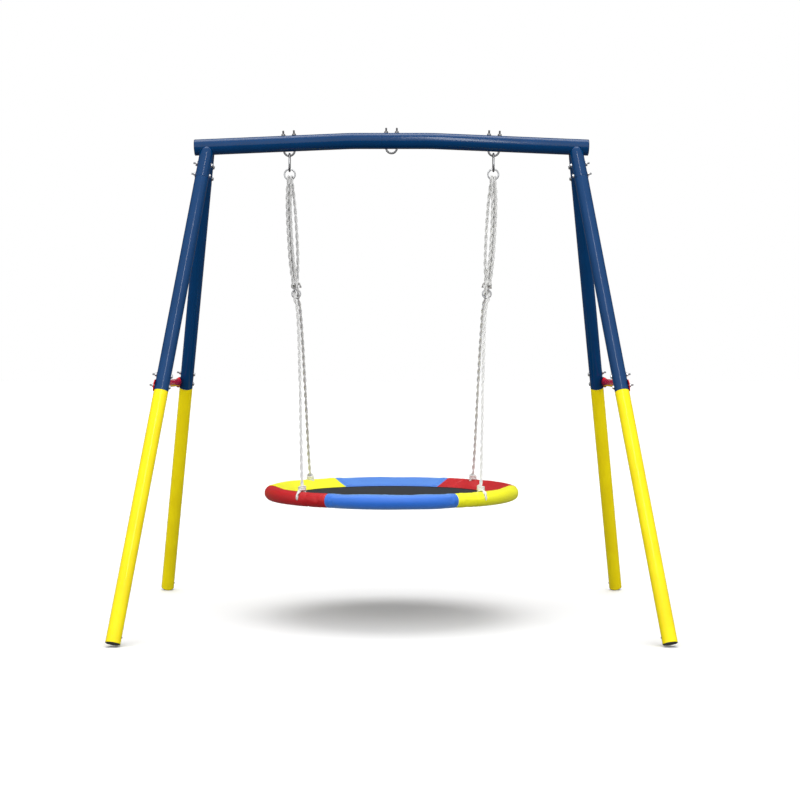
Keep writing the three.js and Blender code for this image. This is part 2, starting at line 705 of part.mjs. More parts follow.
// Name, colour, the angle it starts at and, where a rope is tied on, that corner's side and end.
const COVERS = [
  ['front', 'cover_blue', -120],
  ['front_right', 'cover_yellow', -60, 1, -1],
  ['rear_right', 'cover_red', 0, 1, 1],
  ['rear', 'cover_blue', 60],
  ['rear_left', 'cover_yellow', 120, -1, 1],
  ['front_left', 'cover_red', 180, -1, -1],
];
const COVER_STEPS = RIM_STEPS / COVERS.length;

for (const [name, finish, degrees, side, end] of COVERS) {
  const whole = cover(THREE.MathUtils.degToRad(degrees));
  const shape = side ? whole.subtract(tieRoom(side, end)) : whole;
  place(`cover_${name}`, finish, geometryOf(shape));
}

// The mat: its edge, below the covers' thin edges, is a little lower than its open middle.
const matBottom = MAT.top - MAT.thickness;
const matEdge = solid(rod(MAT.radius, matBottom, MAT.top - MAT.step, RIM_STEPS));
const matMiddle = solid(rod(MAT.faceRadius, matBottom, MAT.top, RIM_STEPS));
place('mat', 'mat', geometryOf(matEdge.add(matMiddle)));

export default group;
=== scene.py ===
import json
import math

import bmesh
import bpy
import numpy as np
from mathutils import Matrix, Vector

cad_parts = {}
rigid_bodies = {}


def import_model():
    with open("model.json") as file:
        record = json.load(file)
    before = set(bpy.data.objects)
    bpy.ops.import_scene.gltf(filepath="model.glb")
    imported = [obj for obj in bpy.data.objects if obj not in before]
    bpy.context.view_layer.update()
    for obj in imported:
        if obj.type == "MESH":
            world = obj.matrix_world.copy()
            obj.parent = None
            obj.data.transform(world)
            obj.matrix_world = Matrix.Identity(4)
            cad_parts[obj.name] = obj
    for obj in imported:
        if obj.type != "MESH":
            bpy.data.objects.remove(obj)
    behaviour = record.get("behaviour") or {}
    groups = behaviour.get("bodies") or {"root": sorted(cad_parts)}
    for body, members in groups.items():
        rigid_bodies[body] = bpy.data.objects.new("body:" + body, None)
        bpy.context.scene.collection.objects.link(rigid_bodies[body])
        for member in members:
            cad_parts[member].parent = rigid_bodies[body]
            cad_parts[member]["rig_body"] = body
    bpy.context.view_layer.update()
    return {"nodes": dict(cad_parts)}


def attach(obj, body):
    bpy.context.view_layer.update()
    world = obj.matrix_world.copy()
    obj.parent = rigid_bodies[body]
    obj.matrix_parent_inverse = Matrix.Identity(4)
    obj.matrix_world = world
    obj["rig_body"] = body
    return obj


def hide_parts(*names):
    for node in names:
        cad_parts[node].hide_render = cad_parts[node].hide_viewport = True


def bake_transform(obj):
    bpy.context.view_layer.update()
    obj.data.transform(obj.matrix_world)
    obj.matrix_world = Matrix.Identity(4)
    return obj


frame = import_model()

# Shapes are worked out in millimetres, as in the CAD, and become metres in make().
MM = 0.001
GAP = 0.3
SIDES = {"left": -1, "right": 1}
ENDS = {"front": -1, "rear": 1}
CORNERS = [(side_name, end_name) for side_name in SIDES for end_name in ENDS]

# ---- dimensions shared with the CAD ----

LEG_TOP = (723.7, 8.0, 1845.5)
LEG_FOOT = (980.9, 742.6)
LEG_RADIUS = 27.0
LEG_WALL = 1.5
SWAGE_STEP = 1.9
STUB_LENGTH = 140.0
SWAGE_TOP = 58.0
STUB_BOLTS = (79.0, 126.0)
MID_SEAM = 1037.0
MID_BOLTS = (973.5, 1017.0)
MID_SWAGE_TOP = 945.0
PLUG_THICKNESS = 1.2

BEAM_RADIUS = 31.75
BEAM_WALL = 1.8
BEAM_MID_Z = 1869.5
BEAM_HALF_LENGTH = 775.0
BEAM_BEND_X = 160.0
BEAM_BEND_REACH = 30.0
BEAM_SEAM_X = -37.0

BOLT_RADIUS = 4.0
HEAD_RADIUS = 7.5
HEAD_HEIGHT = 5.3
NUT_HEIGHT = 6.5
BOLT_TIP = 16.0
PLATE_THICKNESS = 3.0

BRACE_RADIUS = 15.0
BRACE_FLAT_HALF_HEIGHT = 22.0
BRACE_PAST_BOLT = 20.0
BRACE_FLAT_LENGTH = 55.0
BRACE_TRANSITION = 30.0

UBOLT_RADIUS = 4.0
UBOLT_HALF_SPACING = 21.0
UBOLT_DROP = 21.0
UBOLT_RISE = 20.0
HOOK_X = 402.0
HOOK_LENGTH = 68.0
HOOK_BEND = 14.0
HOOK_ROD = 4.0
GATE_LENGTH = 31.0
GATE_PIVOT_UP = 21.0
TOP_RING = (20.85, 3.0)
LOW_RING = (16.75, 2.75)
LOW_RING_Z = 1266.5

RIM_RADIUS = 472.0
RIM_Z = 485.5
PAD_RADIUS = 27.0
PAD_BORE = 14.2
MAT_EDGE = 444.3
MAT_TOP = 479.7
TIE_REACH = 57.0

# ---- dimensions of the look alone ----

STRAND_RADIUS = 3.15
STRAND_OFFSET = 3.1
ROPE_LAY = 66.0                 # one whole turn of the two strands
# Faces that meet at a smaller angle, in degrees, are shaded as one smooth surface.
SMOOTH_BOLT = 28.0
SMOOTH_PART = 35.0
SMOOTH_BRACE = 40.0
SMOOTH_CLOTH = 50.0
SMOOTH_ROPE = 60.0

# ---- shapes: a list of points in mm, faces, and each face corner's place on the surface ----


def unit(vector):
    return vector / np.linalg.norm(vector)


def unit_rows(vectors):
    return vectors / np.linalg.norm(vectors, axis=1)[:, None]


def round_angles(count):
    return 2 * math.pi * np.arange(count) / count


def frames_along(points):
    """Two crosswise directions at each point of a line, which don't twist about it."""
    step = unit_rows(np.diff(points, axis=0))
    tangent = unit_rows(np.vstack([step[:1], step[:-1] + step[1:], step[-1:]]))
    side = np.empty_like(points)
    seed = np.array([0.0, 1.0, 0.0]) if abs(tangent[0][1]) < 0.9 else np.array([1.0, 0.0, 0.0])
    for i, along in enumerate(tangent):
        seed = unit(seed - along * (seed @ along))
        side[i] = seed
    return side, np.cross(tangent, side)


def grid_faces(rows, columns, along, around):
    """Faces and surface places (metres) of a grid of rings that closes round each ring.
    around is a ring's length, or the place of each of its points and of the first one again."""
    faces, places = [], []
    if np.ndim(around) == 0:
        around = around * np.arange(columns + 1) / columns
    for i in range(rows - 1):
        for j in range(columns):
            k = (j + 1) % columns
            a, b = i * columns, (i + 1) * columns
            faces.append((a + j, a + k, b + k, b + j))
            u0, u1 = float(around[j]), float(around[j + 1])
            v0, v1 = along[i], along[i + 1]
            places.append(((u0, v0), (u1, v0), (u1, v1), (u0, v1)))
    return faces, places


def ring_shape(rings, along, around, caps):
    """A skin over rings of points, one after another, with flat caps if asked for."""
    rings = np.asarray(rings, float)
    rows, columns = rings.shape[:2]
    faces, places = grid_faces(rows, columns, along, around)
    if caps:
        last = (rows - 1) * columns
        faces.append(tuple(reversed(range(columns))))
        faces.append(tuple(range(last, last + columns)))
        places += [((0.0, 0.0),) * columns] * 2
    return rings.reshape(-1, 3), faces, places


def loop_shape(rings, along, around):
    """A skin over rings of points whose last ring is the first one again."""
    points, faces, places = ring_shape(rings, along, around, False)
    last = len(points) - len(rings[0])
    faces = [tuple(v - last if v >= last else v for v in face) for face in faces]
    return points[:last], faces, places


def lengths(points):
    """How far along a line each of its points is."""
    steps = np.linalg.norm(np.diff(points, axis=0), axis=1)
    return np.concatenate([[0.0], np.cumsum(steps)])


def tube(points, radius, sides=16, caps=True):
    """A round bar along a line; radius is one number or one for each point."""
    points = np.asarray(points, float)
    radius = np.broadcast_to(np.asarray(radius, float), len(points))
    side, other = frames_along(points)
    angle = round_angles(sides)
    spokes = side[:, None] * np.cos(angle)[:, None] + other[:, None] * np.sin(angle)[:, None]
    rings = points[:, None] + spokes * radius[:, None, None]
    around = 2 * math.pi * float(radius.max()) * MM
    return ring_shape(rings, lengths(points) * MM, around, caps)


AXIS = 0.01                      # a turned profile that ends here is closed with a tiny cap


def lathe(profile, sides=48, closed=False):
    """A profile of (radius, height) turned round Z. A closed profile makes a hollow tube."""
    profile = np.asarray(profile + [profile[0]] if closed else profile, float)
    angle = round_angles(sides)
    rings = np.stack([np.outer(profile[:, 0], np.cos(angle)),
                      np.outer(profile[:, 0], np.sin(angle)),
                      np.repeat(profile[:, 1:], sides, axis=1)], axis=-1)
    along = lengths(profile) * MM
    around = 2 * math.pi * profile[:, 0].max() * MM
    if closed:
        return loop_shape(rings, along, around)
    return ring_shape(rings, along, around, True)


def axes_matrix(x, y, z, origin):
    return Matrix([[x[i], y[i], z[i], origin[i]] for i in range(3)] + [[0, 0, 0, 1]])


def moved(shape, matrix):
    points, faces, places = shape
    m = np.array(matrix)
    return points @ m[:3, :3].T + m[:3, 3], faces, places


def shifted(shape, x=0.0, y=0.0, z=0.0):
    return shape[0] + np.array([x, y, z]), shape[1], shape[2]


def joined(shapes):
    points, faces, places, count = [], [], [], 0
    for p, f, q in shapes:
        points.append(p)
        faces += [tuple(v + count for v in face) for face in f]
        places += q
        count += len(p)
    return np.vstack(points), faces, places


# Turns a shape made along Z so that it lies along X.
ALONG_X = Matrix.Rotation(math.pi / 2, 4, "Y")


def along_x(shape):
    return moved(shape, ALONG_X)


def link_new(name, data):
    thing = bpy.data.objects.new(name, data)
    bpy.context.scene.collection.objects.link(thing)
    return thing


def make(name, shape, material, smooth_below=SMOOTH_PART):
    """A mesh object from a shape in mm."""
    points, faces, places = shape
    mesh = bpy.data.meshes.new(name)
    mesh.from_pydata([tuple(p) for p in points * MM], [], faces)
    layer = mesh.uv_layers.new(name="UVMap")
    layer.data.foreach_set("uv", [c for place in places for corner in place for c in corner])
    mesh.materials.append(material)
    mesh.validate()
    mesh.update()
    mesh.shade_smooth()
    mesh.set_sharp_from_angle(angle=math.radians(smooth_below))
    return link_new(name, mesh)


def outward(piece):
    """Turns every face of a closed piece to face out."""
    bm = bmesh.new()
    bm.from_mesh(piece.data)
    bmesh.ops.recalc_face_normals(bm, faces=bm.faces)
    bm.to_mesh(piece.data)
    bm.free()
    return piece


def stand_for(piece, slot, *nodes):
    """The piece shows in place of CAD nodes and moves with their body."""
    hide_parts(*nodes)
    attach(piece, frame["nodes"][nodes[0]]["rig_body"])


def part(name, shape, material, slot, node, smooth_below=SMOOTH_PART):
    """A closed piece that shows in place of one CAD node."""
    piece = outward(make(name, shape, material, smooth_below))
    stand_for(piece, slot, node)
    return piece


def trim(piece, body):
    """A small piece that no CAD node has."""
    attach(piece, body)


def smooth_line(points, spacing):
    """A smooth curve through points (centripetal Catmull-Rom), with evenly spaced points."""
    points = np.asarray(points, float)
    ends = np.vstack([2 * points[0] - points[1], points, 2 * points[-1] - points[-2]])

    def between(p, q, from_t, to_t, t):
        return (to_t - t) / (to_t - from_t) * p + (t - from_t) / (to_t - from_t) * q

    fine = []
    for p0, p1, p2, p3 in zip(ends, ends[1:], ends[2:], ends[3:]):
        roots = [math.sqrt(np.linalg.norm(b - a)) for a, b in ((p0, p1), (p1, p2), (p2, p3))]
        t0, t1, t2, t3 = np.cumsum([0.0] + roots)
        count = max(2, int(np.linalg.norm(p2 - p1) / spacing * 2))
        for t in np.linspace(t1, t2, count, endpoint=False):
            middle = between(p1, p2, t1, t2, t)
            before = between(between(p0, p1, t0, t1, t), middle, t0, t2, t)
            after = between(middle, between(p2, p3, t2, t3, t), t1, t3, t)
            fine.append(between(before, after, t1, t2, t))
    fine = np.array(fine + [points[-1]])
    reach = lengths(fine)
    places = np.linspace(0, reach[-1], max(2, int(round(reach[-1] / spacing)) + 1))
    return np.stack([np.interp(places, reach, fine[:, i]) for i in range(3)], axis=1)


# ---- camera ----

CAMERA_LENS = 77.13
CAMERA_SENSOR = 36.0
CAMERA_SHIFT = (0.0106, -0.055)
CAMERA_PLACE = (0.0, -6.76, 1.0215)


def make_camera():
    data = bpy.data.cameras.new("camera")
    data.lens = CAMERA_LENS
    data.sensor_width = CAMERA_SENSOR
    data.shift_x, data.shift_y = CAMERA_SHIFT
    camera = link_new("camera", data)
    camera.location = CAMERA_PLACE
    camera.rotation_euler = (math.radians(90), 0.0, 0.0)
    bpy.context.scene.camera = camera


make_camera()

# ---- materials ----


def srgb(r, g, b):
    """A colour given as 0 to 255, as the shader wants it."""
    def linear(c):
        c /= 255
        return c / 12.92 if c <= 0.04045 else ((c + 0.055) / 1.055) ** 2.4
    return linear(r), linear(g), linear(b), 1.0


def scaled(color, factor):
    return tuple(min(1.0, c * factor) for c in color[:3]) + (1.0,)


class Tree:
    """Short names for building a node tree."""

    def __init__(self, tree):
        self.tree = tree

    def add(self, kind, inputs=None, **settings):
        node = self.tree.nodes.new(kind)
        for key, value in settings.items():
            setattr(node, key, value)
        for key, value in (inputs or {}).items():
            self.feed(node.inputs[key], value)
        return node

    def feed(self, socket, value):
        if isinstance(value, bpy.types.NodeSocket):
            self.tree.links.new(value, socket)
        else:
            socket.default_value = value

    def math(self, operation, a, b=0.0):
        return self.add("ShaderNodeMath", {0: a, 1: b}, operation=operation).outputs[0]

    def times(self, a, b):
        return self.math("MULTIPLY", a, b)

    def plus(self, a, b):
        return self.math("ADD", a, b)

    def ramp(self, value, low, high, out_low=0.0, out_high=1.0):
        inputs = {"Value": value, "From Min": low, "From Max": high,
                  "To Min": out_low, "To Max": out_high}
        return self.add("ShaderNodeMapRange", inputs).outputs[0]


class Nodes(Tree):
    """A material's node tree."""

    def __init__(self, name):
        self.material = bpy.data.materials.new(name)
        self.material.use_nodes = True
        super().__init__(self.material.node_tree)
        self.shader = self.tree.nodes["Principled BSDF"]
        self.where = self.tree.nodes.new("ShaderNodeTexCoord")

    def noise(self, scale, detail=3.0, roughness=0.55):
        inputs = {"Vector": self.where.outputs["Object"], "Scale": scale,
                  "Detail": detail, "Roughness": roughness}
        return self.add("ShaderNodeTexNoise", inputs).outputs["Fac"]

    def wave(self, phase):
        return self.math("ABSOLUTE", self.math("SINE", phase))

    def mix(self, factor, a, b):
        node = self.add("ShaderNodeMix", {0: factor, 6: a, 7: b}, data_type="RGBA")
        return node.outputs[2]

    def bump(self, height, distance, strength):
        inputs = {"Height": height, "Distance": distance, "Strength": strength}
        return self.add("ShaderNodeBump", inputs).outputs[0]

    def set(self, **sockets):
        for key, value in sockets.items():
            self.feed(self.shader.inputs[key.replace("_", " ")], value)


def paint(name, color):
    """Powder coat on steel: fine orange peel, cloudy gloss, a few pale scuffs."""
    n = Nodes(name)
    cloud = n.noise(9.0, 4.0)
    scuff = n.ramp(n.noise(160.0, 6.0, roughness=0.7), 0.69, 0.76)
    patch = n.ramp(n.noise(7.0, 2.0), 0.5, 0.66)
    marks = n.times(n.times(scuff, patch), 0.14)
    body = n.mix(n.ramp(cloud, 0.3, 0.7), scaled(color, 0.93), scaled(color, 1.06))
    n.set(Base_Color=n.mix(marks, body, srgb(190, 195, 200)),
          Roughness=n.ramp(cloud, 0.25, 0.75, 0.11, 0.16), Specular_IOR_Level=0.2,
          Normal=n.bump(n.noise(620.0, 2.0), 0.0002, 0.12))
    return n.material


def zinc(name, color, roughness):
    """Zinc-plated steel: faint crystals, drawn grain, dull and bright patches."""
    n = Nodes(name)
    crystals = n.add("ShaderNodeTexVoronoi", {"Vector": n.where.outputs["Object"],
                                              "Scale": 420.0}).outputs["Color"]
    grey = n.add("ShaderNodeSeparateColor", {"Color": crystals}).outputs[0]
    patch = n.noise(70.0, 5.0)
    tone = n.mix(n.ramp(grey, 0.0, 1.0, 0.2, 0.8), scaled(color, 0.82), scaled(color, 1.15))
    dull = n.ramp(patch, 0.5, 0.72)
    n.set(Base_Color=n.mix(n.times(dull, 0.35), tone, srgb(88, 86, 84)),
          Metallic=0.85,
          Roughness=n.ramp(patch, 0.3, 0.7, roughness - 0.06, roughness + 0.12),
          Normal=n.bump(n.noise(900.0, 3.0), 0.0002, 0.3))
    return n.material


def plastic(name, color):
    """Moulded plastic with a fine spark-eroded grain."""
    n = Nodes(name)
    n.set(Base_Color=n.mix(n.noise(40.0, 3.0), scaled(color, 0.8), scaled(color, 1.35)),
          Roughness=n.ramp(n.noise(60.0, 3.0), 0.3, 0.7, 0.42, 0.58),
          Normal=n.bump(n.noise(1500.0, 2.0), 0.0002, 0.5))
    return n.material


def surface_place(n, across, along):
    """The UV place split into u and v, and both times a number of threads for each metre."""
    place = n.add("ShaderNodeSeparateXYZ", {"Vector": n.where.outputs["UV"]})
    return n.times(place.outputs[0], across), n.times(place.outputs[1], along)


YARNS_PER_METRE = 5.0 / (2 * math.pi * STRAND_RADIUS * MM)      # five yarns round a strand
YARN_LAY = 0.016


def twisted(name, color):
    """Laid fibre: yarns that wind round a strand, and fine fuzz between them, with painted shade in the
    grooves between the yarns.
    """
    n = Nodes(name)
    u, v = surface_place(n, YARNS_PER_METRE, 2 * math.pi / YARN_LAY)
    ridge = n.wave(n.times(n.plus(n.times(u, 2 * math.pi), v), 0.5))
    fibre = n.noise(1400.0, 4.0, roughness=0.7)
    light = n.mix(n.ramp(n.noise(14.0, 3.0), 0.35, 0.7), color, scaled(color, 0.9))
    # The grooves between yarns are painted darker: painted shade.
    n.set(Base_Color=n.mix(n.ramp(ridge, 0.0, 0.45), scaled(color, 0.9), light),
          Roughness=n.ramp(fibre, 0.3, 0.7, 0.68, 0.86), Specular_IOR_Level=0.2,
          Normal=n.bump(n.plus(ridge, n.times(fibre, 0.35)), 0.0005, 0.5))
    return n.material


def woven(name, color, pitch, depth, roughness, specular, hollow_shade, sheen=None):
    """Plain weave: threads over and under each other, with painted shade in the hollows between
    threads, and cloudy wear on a larger scale.
    """
    n = Nodes(name)
    if sheen:
        n.set(Sheen_Weight=sheen[0], Sheen_Tint=sheen[1], Sheen_Roughness=0.55)
    u, v = surface_place(n, math.pi / pitch, math.pi / pitch)
    over = n.math("SINE", n.plus(u, v))
    under = n.math("SINE", n.math("SUBTRACT", u, v))
    cross = n.ramp(n.times(over, under), -1.0, 1.0)
    height = n.plus(n.times(n.wave(u), cross), n.times(n.wave(v), n.math("SUBTRACT", 1.0, cross)))
    slub = n.noise(260.0, 4.0)
    cloud = n.noise(11.0, 4.0)
    tone = n.mix(n.ramp(cloud, 0.3, 0.7), scaled(color, 0.94), scaled(color, 1.05))
    # The weave's low places are painted darker: painted shade in the hollows between threads.
    fine = n.mix(n.ramp(height, 0.1, 0.6), scaled(color, hollow_shade), tone)
    n.set(Base_Color=n.mix(n.times(n.ramp(slub, 0.5, 0.75), 0.2), fine, scaled(color, 0.88)),
          Roughness=n.ramp(cloud, 0.25, 0.75, roughness - 0.05, roughness + 0.06),
          Specular_IOR_Level=specular,
          Normal=n.bump(n.plus(height, n.times(slub, 0.3)), depth, 0.6))
    return n.material


def thread(name, color):
    """Sewing thread: two plies twisted together, with painted shade in the groove between them."""
    n = Nodes(name)
    ply = n.wave(n.plus(*surface_place(n, 900.0, 5200.0)))
    # The groove between the plies is painted darker: painted shade.
    n.set(Base_Color=n.mix(ply, scaled(color, 0.7), color), Roughness=0.6, Sheen_Weight=0.2,
          Normal=n.bump(ply, 0.0002, 0.6))
    return n.material


BLUE_PAINT = paint("frame_blue", srgb(0, 57, 106))
YELLOW_PAINT = paint("leg_yellow", srgb(254, 229, 14))
RED_PAINT = paint("brace_red", srgb(220, 12, 30))
ZINC = zinc("zinc_steel", srgb(186, 187, 189), 0.36)
DARK_ZINC = zinc("hook_steel", srgb(122, 122, 124), 0.36)
BLACK_PLASTIC = plastic("black_plastic", srgb(24, 24, 26))
ROPE = twisted("white_rope", srgb(229, 229, 227))
# The left pair's rope is a darker copy of the white rope: painted shade on that side.
LEFT_ROPE_SHADED = twisted("rope_painted_shade", srgb(214, 214, 213))
TAIL_ROPE = twisted("rope_end", srgb(172, 171, 169))
COVERS = {
    "blue": srgb(22, 104, 212),
    "yellow": srgb(255, 253, 26),
    "red": srgb(186, 16, 26),
}
COVER_SHEEN = {                          # the coating's sheen: its weight and tint
    "blue": (1.0, srgb(165, 210, 255)),
    "yellow": (0.6, srgb(255, 255, 90)),
    "red": (0.3, srgb(255, 60, 60)),
}
COVER_CLOTH = {key: woven(f"cover_{key}", value, pitch=0.0009, depth=0.00016, roughness=0.42,
                          specular=0.36, hollow_shade=0.86, sheen=COVER_SHEEN[key])
               for key, value in COVERS.items()}
COVER_THREAD = {key: thread(f"thread_{key}", scaled(value, 0.85))
                for key, value in COVERS.items()}
MAT_CLOTH = woven("mat_fabric", srgb(60, 62, 65), pitch=0.0022, depth=0.0005, roughness=0.8,
                  specular=0.02, hollow_shade=0.6)

# ---- the line that each side hangs on ----

BEAM_SLOPE = (BEAM_MID_Z - LEG_TOP[2]) / (LEG_TOP[0] - BEAM_BEND_X)
UBOLT_TILT = math.atan(BEAM_SLOPE)
UBOLT_BOTTOM = BEAM_RADIUS + UBOLT_DROP - UBOLT_RADIUS
UBOLT_X = HOOK_X + UBOLT_BOTTOM * math.sin(UBOLT_TILT)


def beam_z(x):
    return BEAM_MID_Z - max(0.0, abs(x) - BEAM_BEND_X) * BEAM_SLOPE


SWING_Z = beam_z(UBOLT_X) - UBOLT_BOTTOM * math.cos(UBOLT_TILT)
HOOK_TOP = SWING_Z + UBOLT_RADIUS + HOOK_ROD + GAP
HOOK_BOTTOM = HOOK_TOP - HOOK_LENGTH
GATE_PIVOT = HOOK_BOTTOM + GATE_PIVOT_UP
TOP_RING_Z = HOOK_BOTTOM + HOOK_ROD + TOP_RING[1] + GAP - TOP_RING[0]

RIM_POINT = np.array([RIM_RADIUS * math.sin(math.pi / 4), RIM_RADIUS * math.cos(math.pi / 4),
                      RIM_Z])
ROPE_AIM = np.array([372.5, 14.0, LOW_RING_Z - 22.0])
ROPE_LINE = unit(ROPE_AIM - RIM_POINT)
FLEX_POINT = RIM_POINT + ROPE_LINE * TIE_REACH


def hang_x(z):
    share = (z - FLEX_POINT[2]) / (HOOK_BOTTOM - FLEX_POINT[2])
    return FLEX_POINT[0] + (HOOK_X - FLEX_POINT[0]) * share


HANG_TILT = math.atan2(HOOK_X - FLEX_POINT[0], HOOK_BOTTOM - FLEX_POINT[2])


def hang_point(side, place):
    outward_by, y, z = place
    return np.array([side * (hang_x(z) + outward_by), y, z])


def corner_point(side, end, distance):
    """A point on a corner's rope line, that far from the middle of the rim's tube."""
    return (RIM_POINT + ROPE_LINE * distance) * np.array([side, end, 1.0])


# ---- ropes ----

# [outward from the hanging line, y, z]: the same routes as the CAD's.
FRONT_ROUTE = [
    (-1.0, -22.5, 1221.5), (6.0, -14, 1244.5), (6.3, -8.5, 1256.5), (6.3, 0, 1266.5),
    (6.3, 8.5, 1276.5), (7.0, 12, 1290.5), (8.0, 9, 1318.5), (10.0, 7, 1406.5),
    (10.0, 7, 1606.5), (8.0, 7.5, 1686.5), (6.4, 10, 1709.5), (6.3, 10.05, 1719.1),
    (6.3, 6.6, 1725.5), (6.3, 0, 1728.1), (6.3, -6.6, 1725.5),
    (6.3, -10.05, 1719.1), (7.0, -10, 1709.5), (11.0, -7.5, 1686.5), (17.0, -7, 1606.5),
    (17.0, -7, 1406.5), (12.5, -7.5, 1336.5), (9.0, -7, 1308.5),
]
REAR_ROUTE = [
    (-10.0, 23.5, 1221.5), (-6.0, 14, 1244.5), (-6.3, 8.5, 1256.5), (-6.3, 0, 1266.5),
    (-6.3, -8.5, 1276.5), (-6.0, -12, 1290.5), (-5.0, -9, 1318.5), (3.5, -7, 1406.5),
    (3.5, -7, 1606.5), (-3.0, -7.5, 1686.5), (-6.2, -10, 1709.5), (-6.3, -10.05, 1719.1),
    (-6.3, -6.6, 1725.5), (-6.3, 0, 1728.1), (-6.3, 6.6, 1725.5),
    (-6.3, 10.05, 1719.1), (-7.0, 10, 1709.5), (-9.0, 7.5, 1686.5), (-13.5, 7, 1606.5),
    (-13.5, 7, 1406.5), (-8.5, 7.5, 1336.5), (-5.5, 7, 1308.5),
]
FRONT_TAIL = [(11.0, -6, 1307.5), (14.0, -10, 1299.5), (13.5, -11, 1286.5)]
REAR_TAIL = [(-8.0, -4, 1307.5), (-14.0, -8, 1306.5), (-18.0, -10, 1299.5), (-18.5, -10, 1290.5)]
# Each end's route, its loose tail, and how far outward its knot at the lower ring is.
ROUTES = {"front": (FRONT_ROUTE, FRONT_TAIL, 8.8), "rear": (REAR_ROUTE, REAR_TAIL, -4.6)}
KNOT_Z = 1303.5
ROPE_START = 44.0                # how far the rope's end in the seat knot is from the rim's middle
ROPE_STRAIGHT = 120.0            # the rope runs straight at least this far


def strands(line, radius, offset, lay, phase=0.0, count=2, sides=12):
    """Strands laid round each other along a line of evenly spaced points."""
    side, other = frames_along(line)
    reach = lengths(line)
    shapes = []
    for k in range(count):
        angle = 2 * math.pi * (reach / lay + k / count) + phase
        shift = side * np.cos(angle)[:, None] + other * np.sin(angle)[:, None]
        shapes.append(tube(line + shift * offset, radius, sides))
    return joined(shapes)


def coil(centre, axis, radii, turns, rise, wire, start):
    """A wire wound round an axis, in an oval whose first radius lies nearly along X."""
    across = np.array([1.0, 0.0, 0.0])
    up = unit(axis)
    first = unit(across - up * (across @ up))
    second = np.cross(up, first)
    steps = int(24 * turns)
    line = []
    for i in range(steps + 1):
        t = i / steps
        angle = start + 2 * math.pi * turns * t
        line.append(centre + first * radii[0] * math.cos(angle)
                    + second * radii[1] * math.sin(angle) + up * rise * (t - 0.5))
    return tube(line, wire, 12)


def rope(side_name, end_name, number):
    """A seat rope, with its knot at the lower ring and its loose tail."""
    side, end = SIDES[side_name], ENDS[end_name]
    corner, body = f"{side_name}_{end_name}", f"{side_name}_ropes"
    route, tail, knot_out = ROUTES[end_name]
    start = [corner_point(side, end, d) for d in (ROPE_START, TIE_REACH, ROPE_STRAIGHT)]
    line = smooth_line(start + [hang_point(side, place) for place in route], spacing=2.6)
    shape = strands(line, STRAND_RADIUS, STRAND_OFFSET, ROPE_LAY, phase=1.3 * number)
    # The left side's ropes and knots take the darker copy: painted shade.
    fibre = LEFT_ROPE_SHADED if side_name == "left" else ROPE
    piece = make(f"twisted_rope_{corner}", shape, fibre, SMOOTH_ROPE)

    wraps = coil(hang_point(side, (knot_out, 0.0, KNOT_Z)), np.array([0.06 * side, 0.1, 1.0]),
                 radii=(4.8, 11.6), turns=2.3, rise=10.0, wire=2.5, start=0.7 + number)
    knot = make(f"ring_knot_{corner}", wraps, fibre, SMOOTH_ROPE)
    tail_line = smooth_line([hang_point(side, place) for place in tail], spacing=1.5)
    ends = strands(tail_line, radius=2.3, offset=2.0, lay=40.0, phase=0.4 * number)
    loose = make(f"rope_tail_{corner}", ends, TAIL_ROPE, SMOOTH_ROPE)

    for small in (knot, loose):
        trim(small, body)
    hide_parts(f"rope_{corner}")
    if side_name == "left":
        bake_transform(piece)
    else:
        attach(piece, body)


TIE_WRAPS_AT = 40.5              # the middle of the tie's wraps, from the rim's middle
# The loop round the rim's tube as (outward, up) from the tube's middle.
TIE_LOOP = [
    (3, 36), (15, 28.5), (24.5, 18), (26, 7), (20.2, -5), (12.6, -15), (0, -19.6),
    (-10, -16.9), (-17.2, -9.6), (-19.8, 1), (-18, 13), (-12, 26), (-3, 36),
]


def tie_line(side, end, spacing=2.4):
    middle = RIM_POINT * np.array([side, end, 1.0])
    radial = unit(np.array([middle[0], middle[1], 0.0]))
    lean = np.array([side * ROPE_LINE[0], end * ROPE_LINE[1], 0.0]) / ROPE_LINE[2]
    points = [middle + radial * out + lean * max(0.0, up) + np.array([0, 0, up])
              for out, up in TIE_LOOP]
    return smooth_line(points, spacing)


def tie(side_name, end_name, number):
    """The loop round the rim, and the wraps that hold it closed below the rope."""
    side, end = SIDES[side_name], ENDS[end_name]
    loop = strands(tie_line(side, end), STRAND_RADIUS, offset=2.9, lay=58.0, phase=0.9 * number)
    wraps = coil(corner_point(side, end, TIE_WRAPS_AT), ROPE_LINE * np.array([side, end, 1.0]),
                 radii=(12.4, 12.0), turns=3.1, rise=20.5, wire=3.0, start=1.9 + number)
    piece = make(f"rope_tie_{side_name}_{end_name}", joined([loop, wraps]), ROPE, SMOOTH_ROPE)
    stand_for(piece, "white_rope", f"tie_{side_name}_{end_name}")


def make_ropes():
    for number, (side_name, end_name) in enumerate(CORNERS):
        rope(side_name, end_name, number)
        tie(side_name, end_name, number)


make_ropes()

# ---- modifiers applied at once ----


def apply_modifiers(piece):
    """Makes what the modifiers give the piece's own mesh."""
    graph = bpy.context.evaluated_depsgraph_get()
    mesh = bpy.data.meshes.new_from_object(piece.evaluated_get(graph), depsgraph=graph)
    old = piece.data
    piece.modifiers.clear()
    piece.data = mesh
    mesh.name = piece.name
    bpy.data.meshes.remove(old)


def combine(piece, other, operation):
    """Joins another closed mesh to the piece, or cuts it away, and drops that other mesh."""
    modifier = piece.modifiers.new("combine", "BOOLEAN")
    modifier.operation = operation
    modifier.solver = "EXACT"
    modifier.use_self = True
    modifier.object = other
    apply_modifiers(piece)
    bpy.data.objects.remove(other)


# ---- hardware shapes ----


def level_ring(reach, height, sides):
    """Points round Z, at a distance and a height, or at one of each for every point."""
    angle = round_angles(sides)
    return np.stack([reach * np.cos(angle), reach * np.sin(angle), np.full(sides, height)], axis=1)


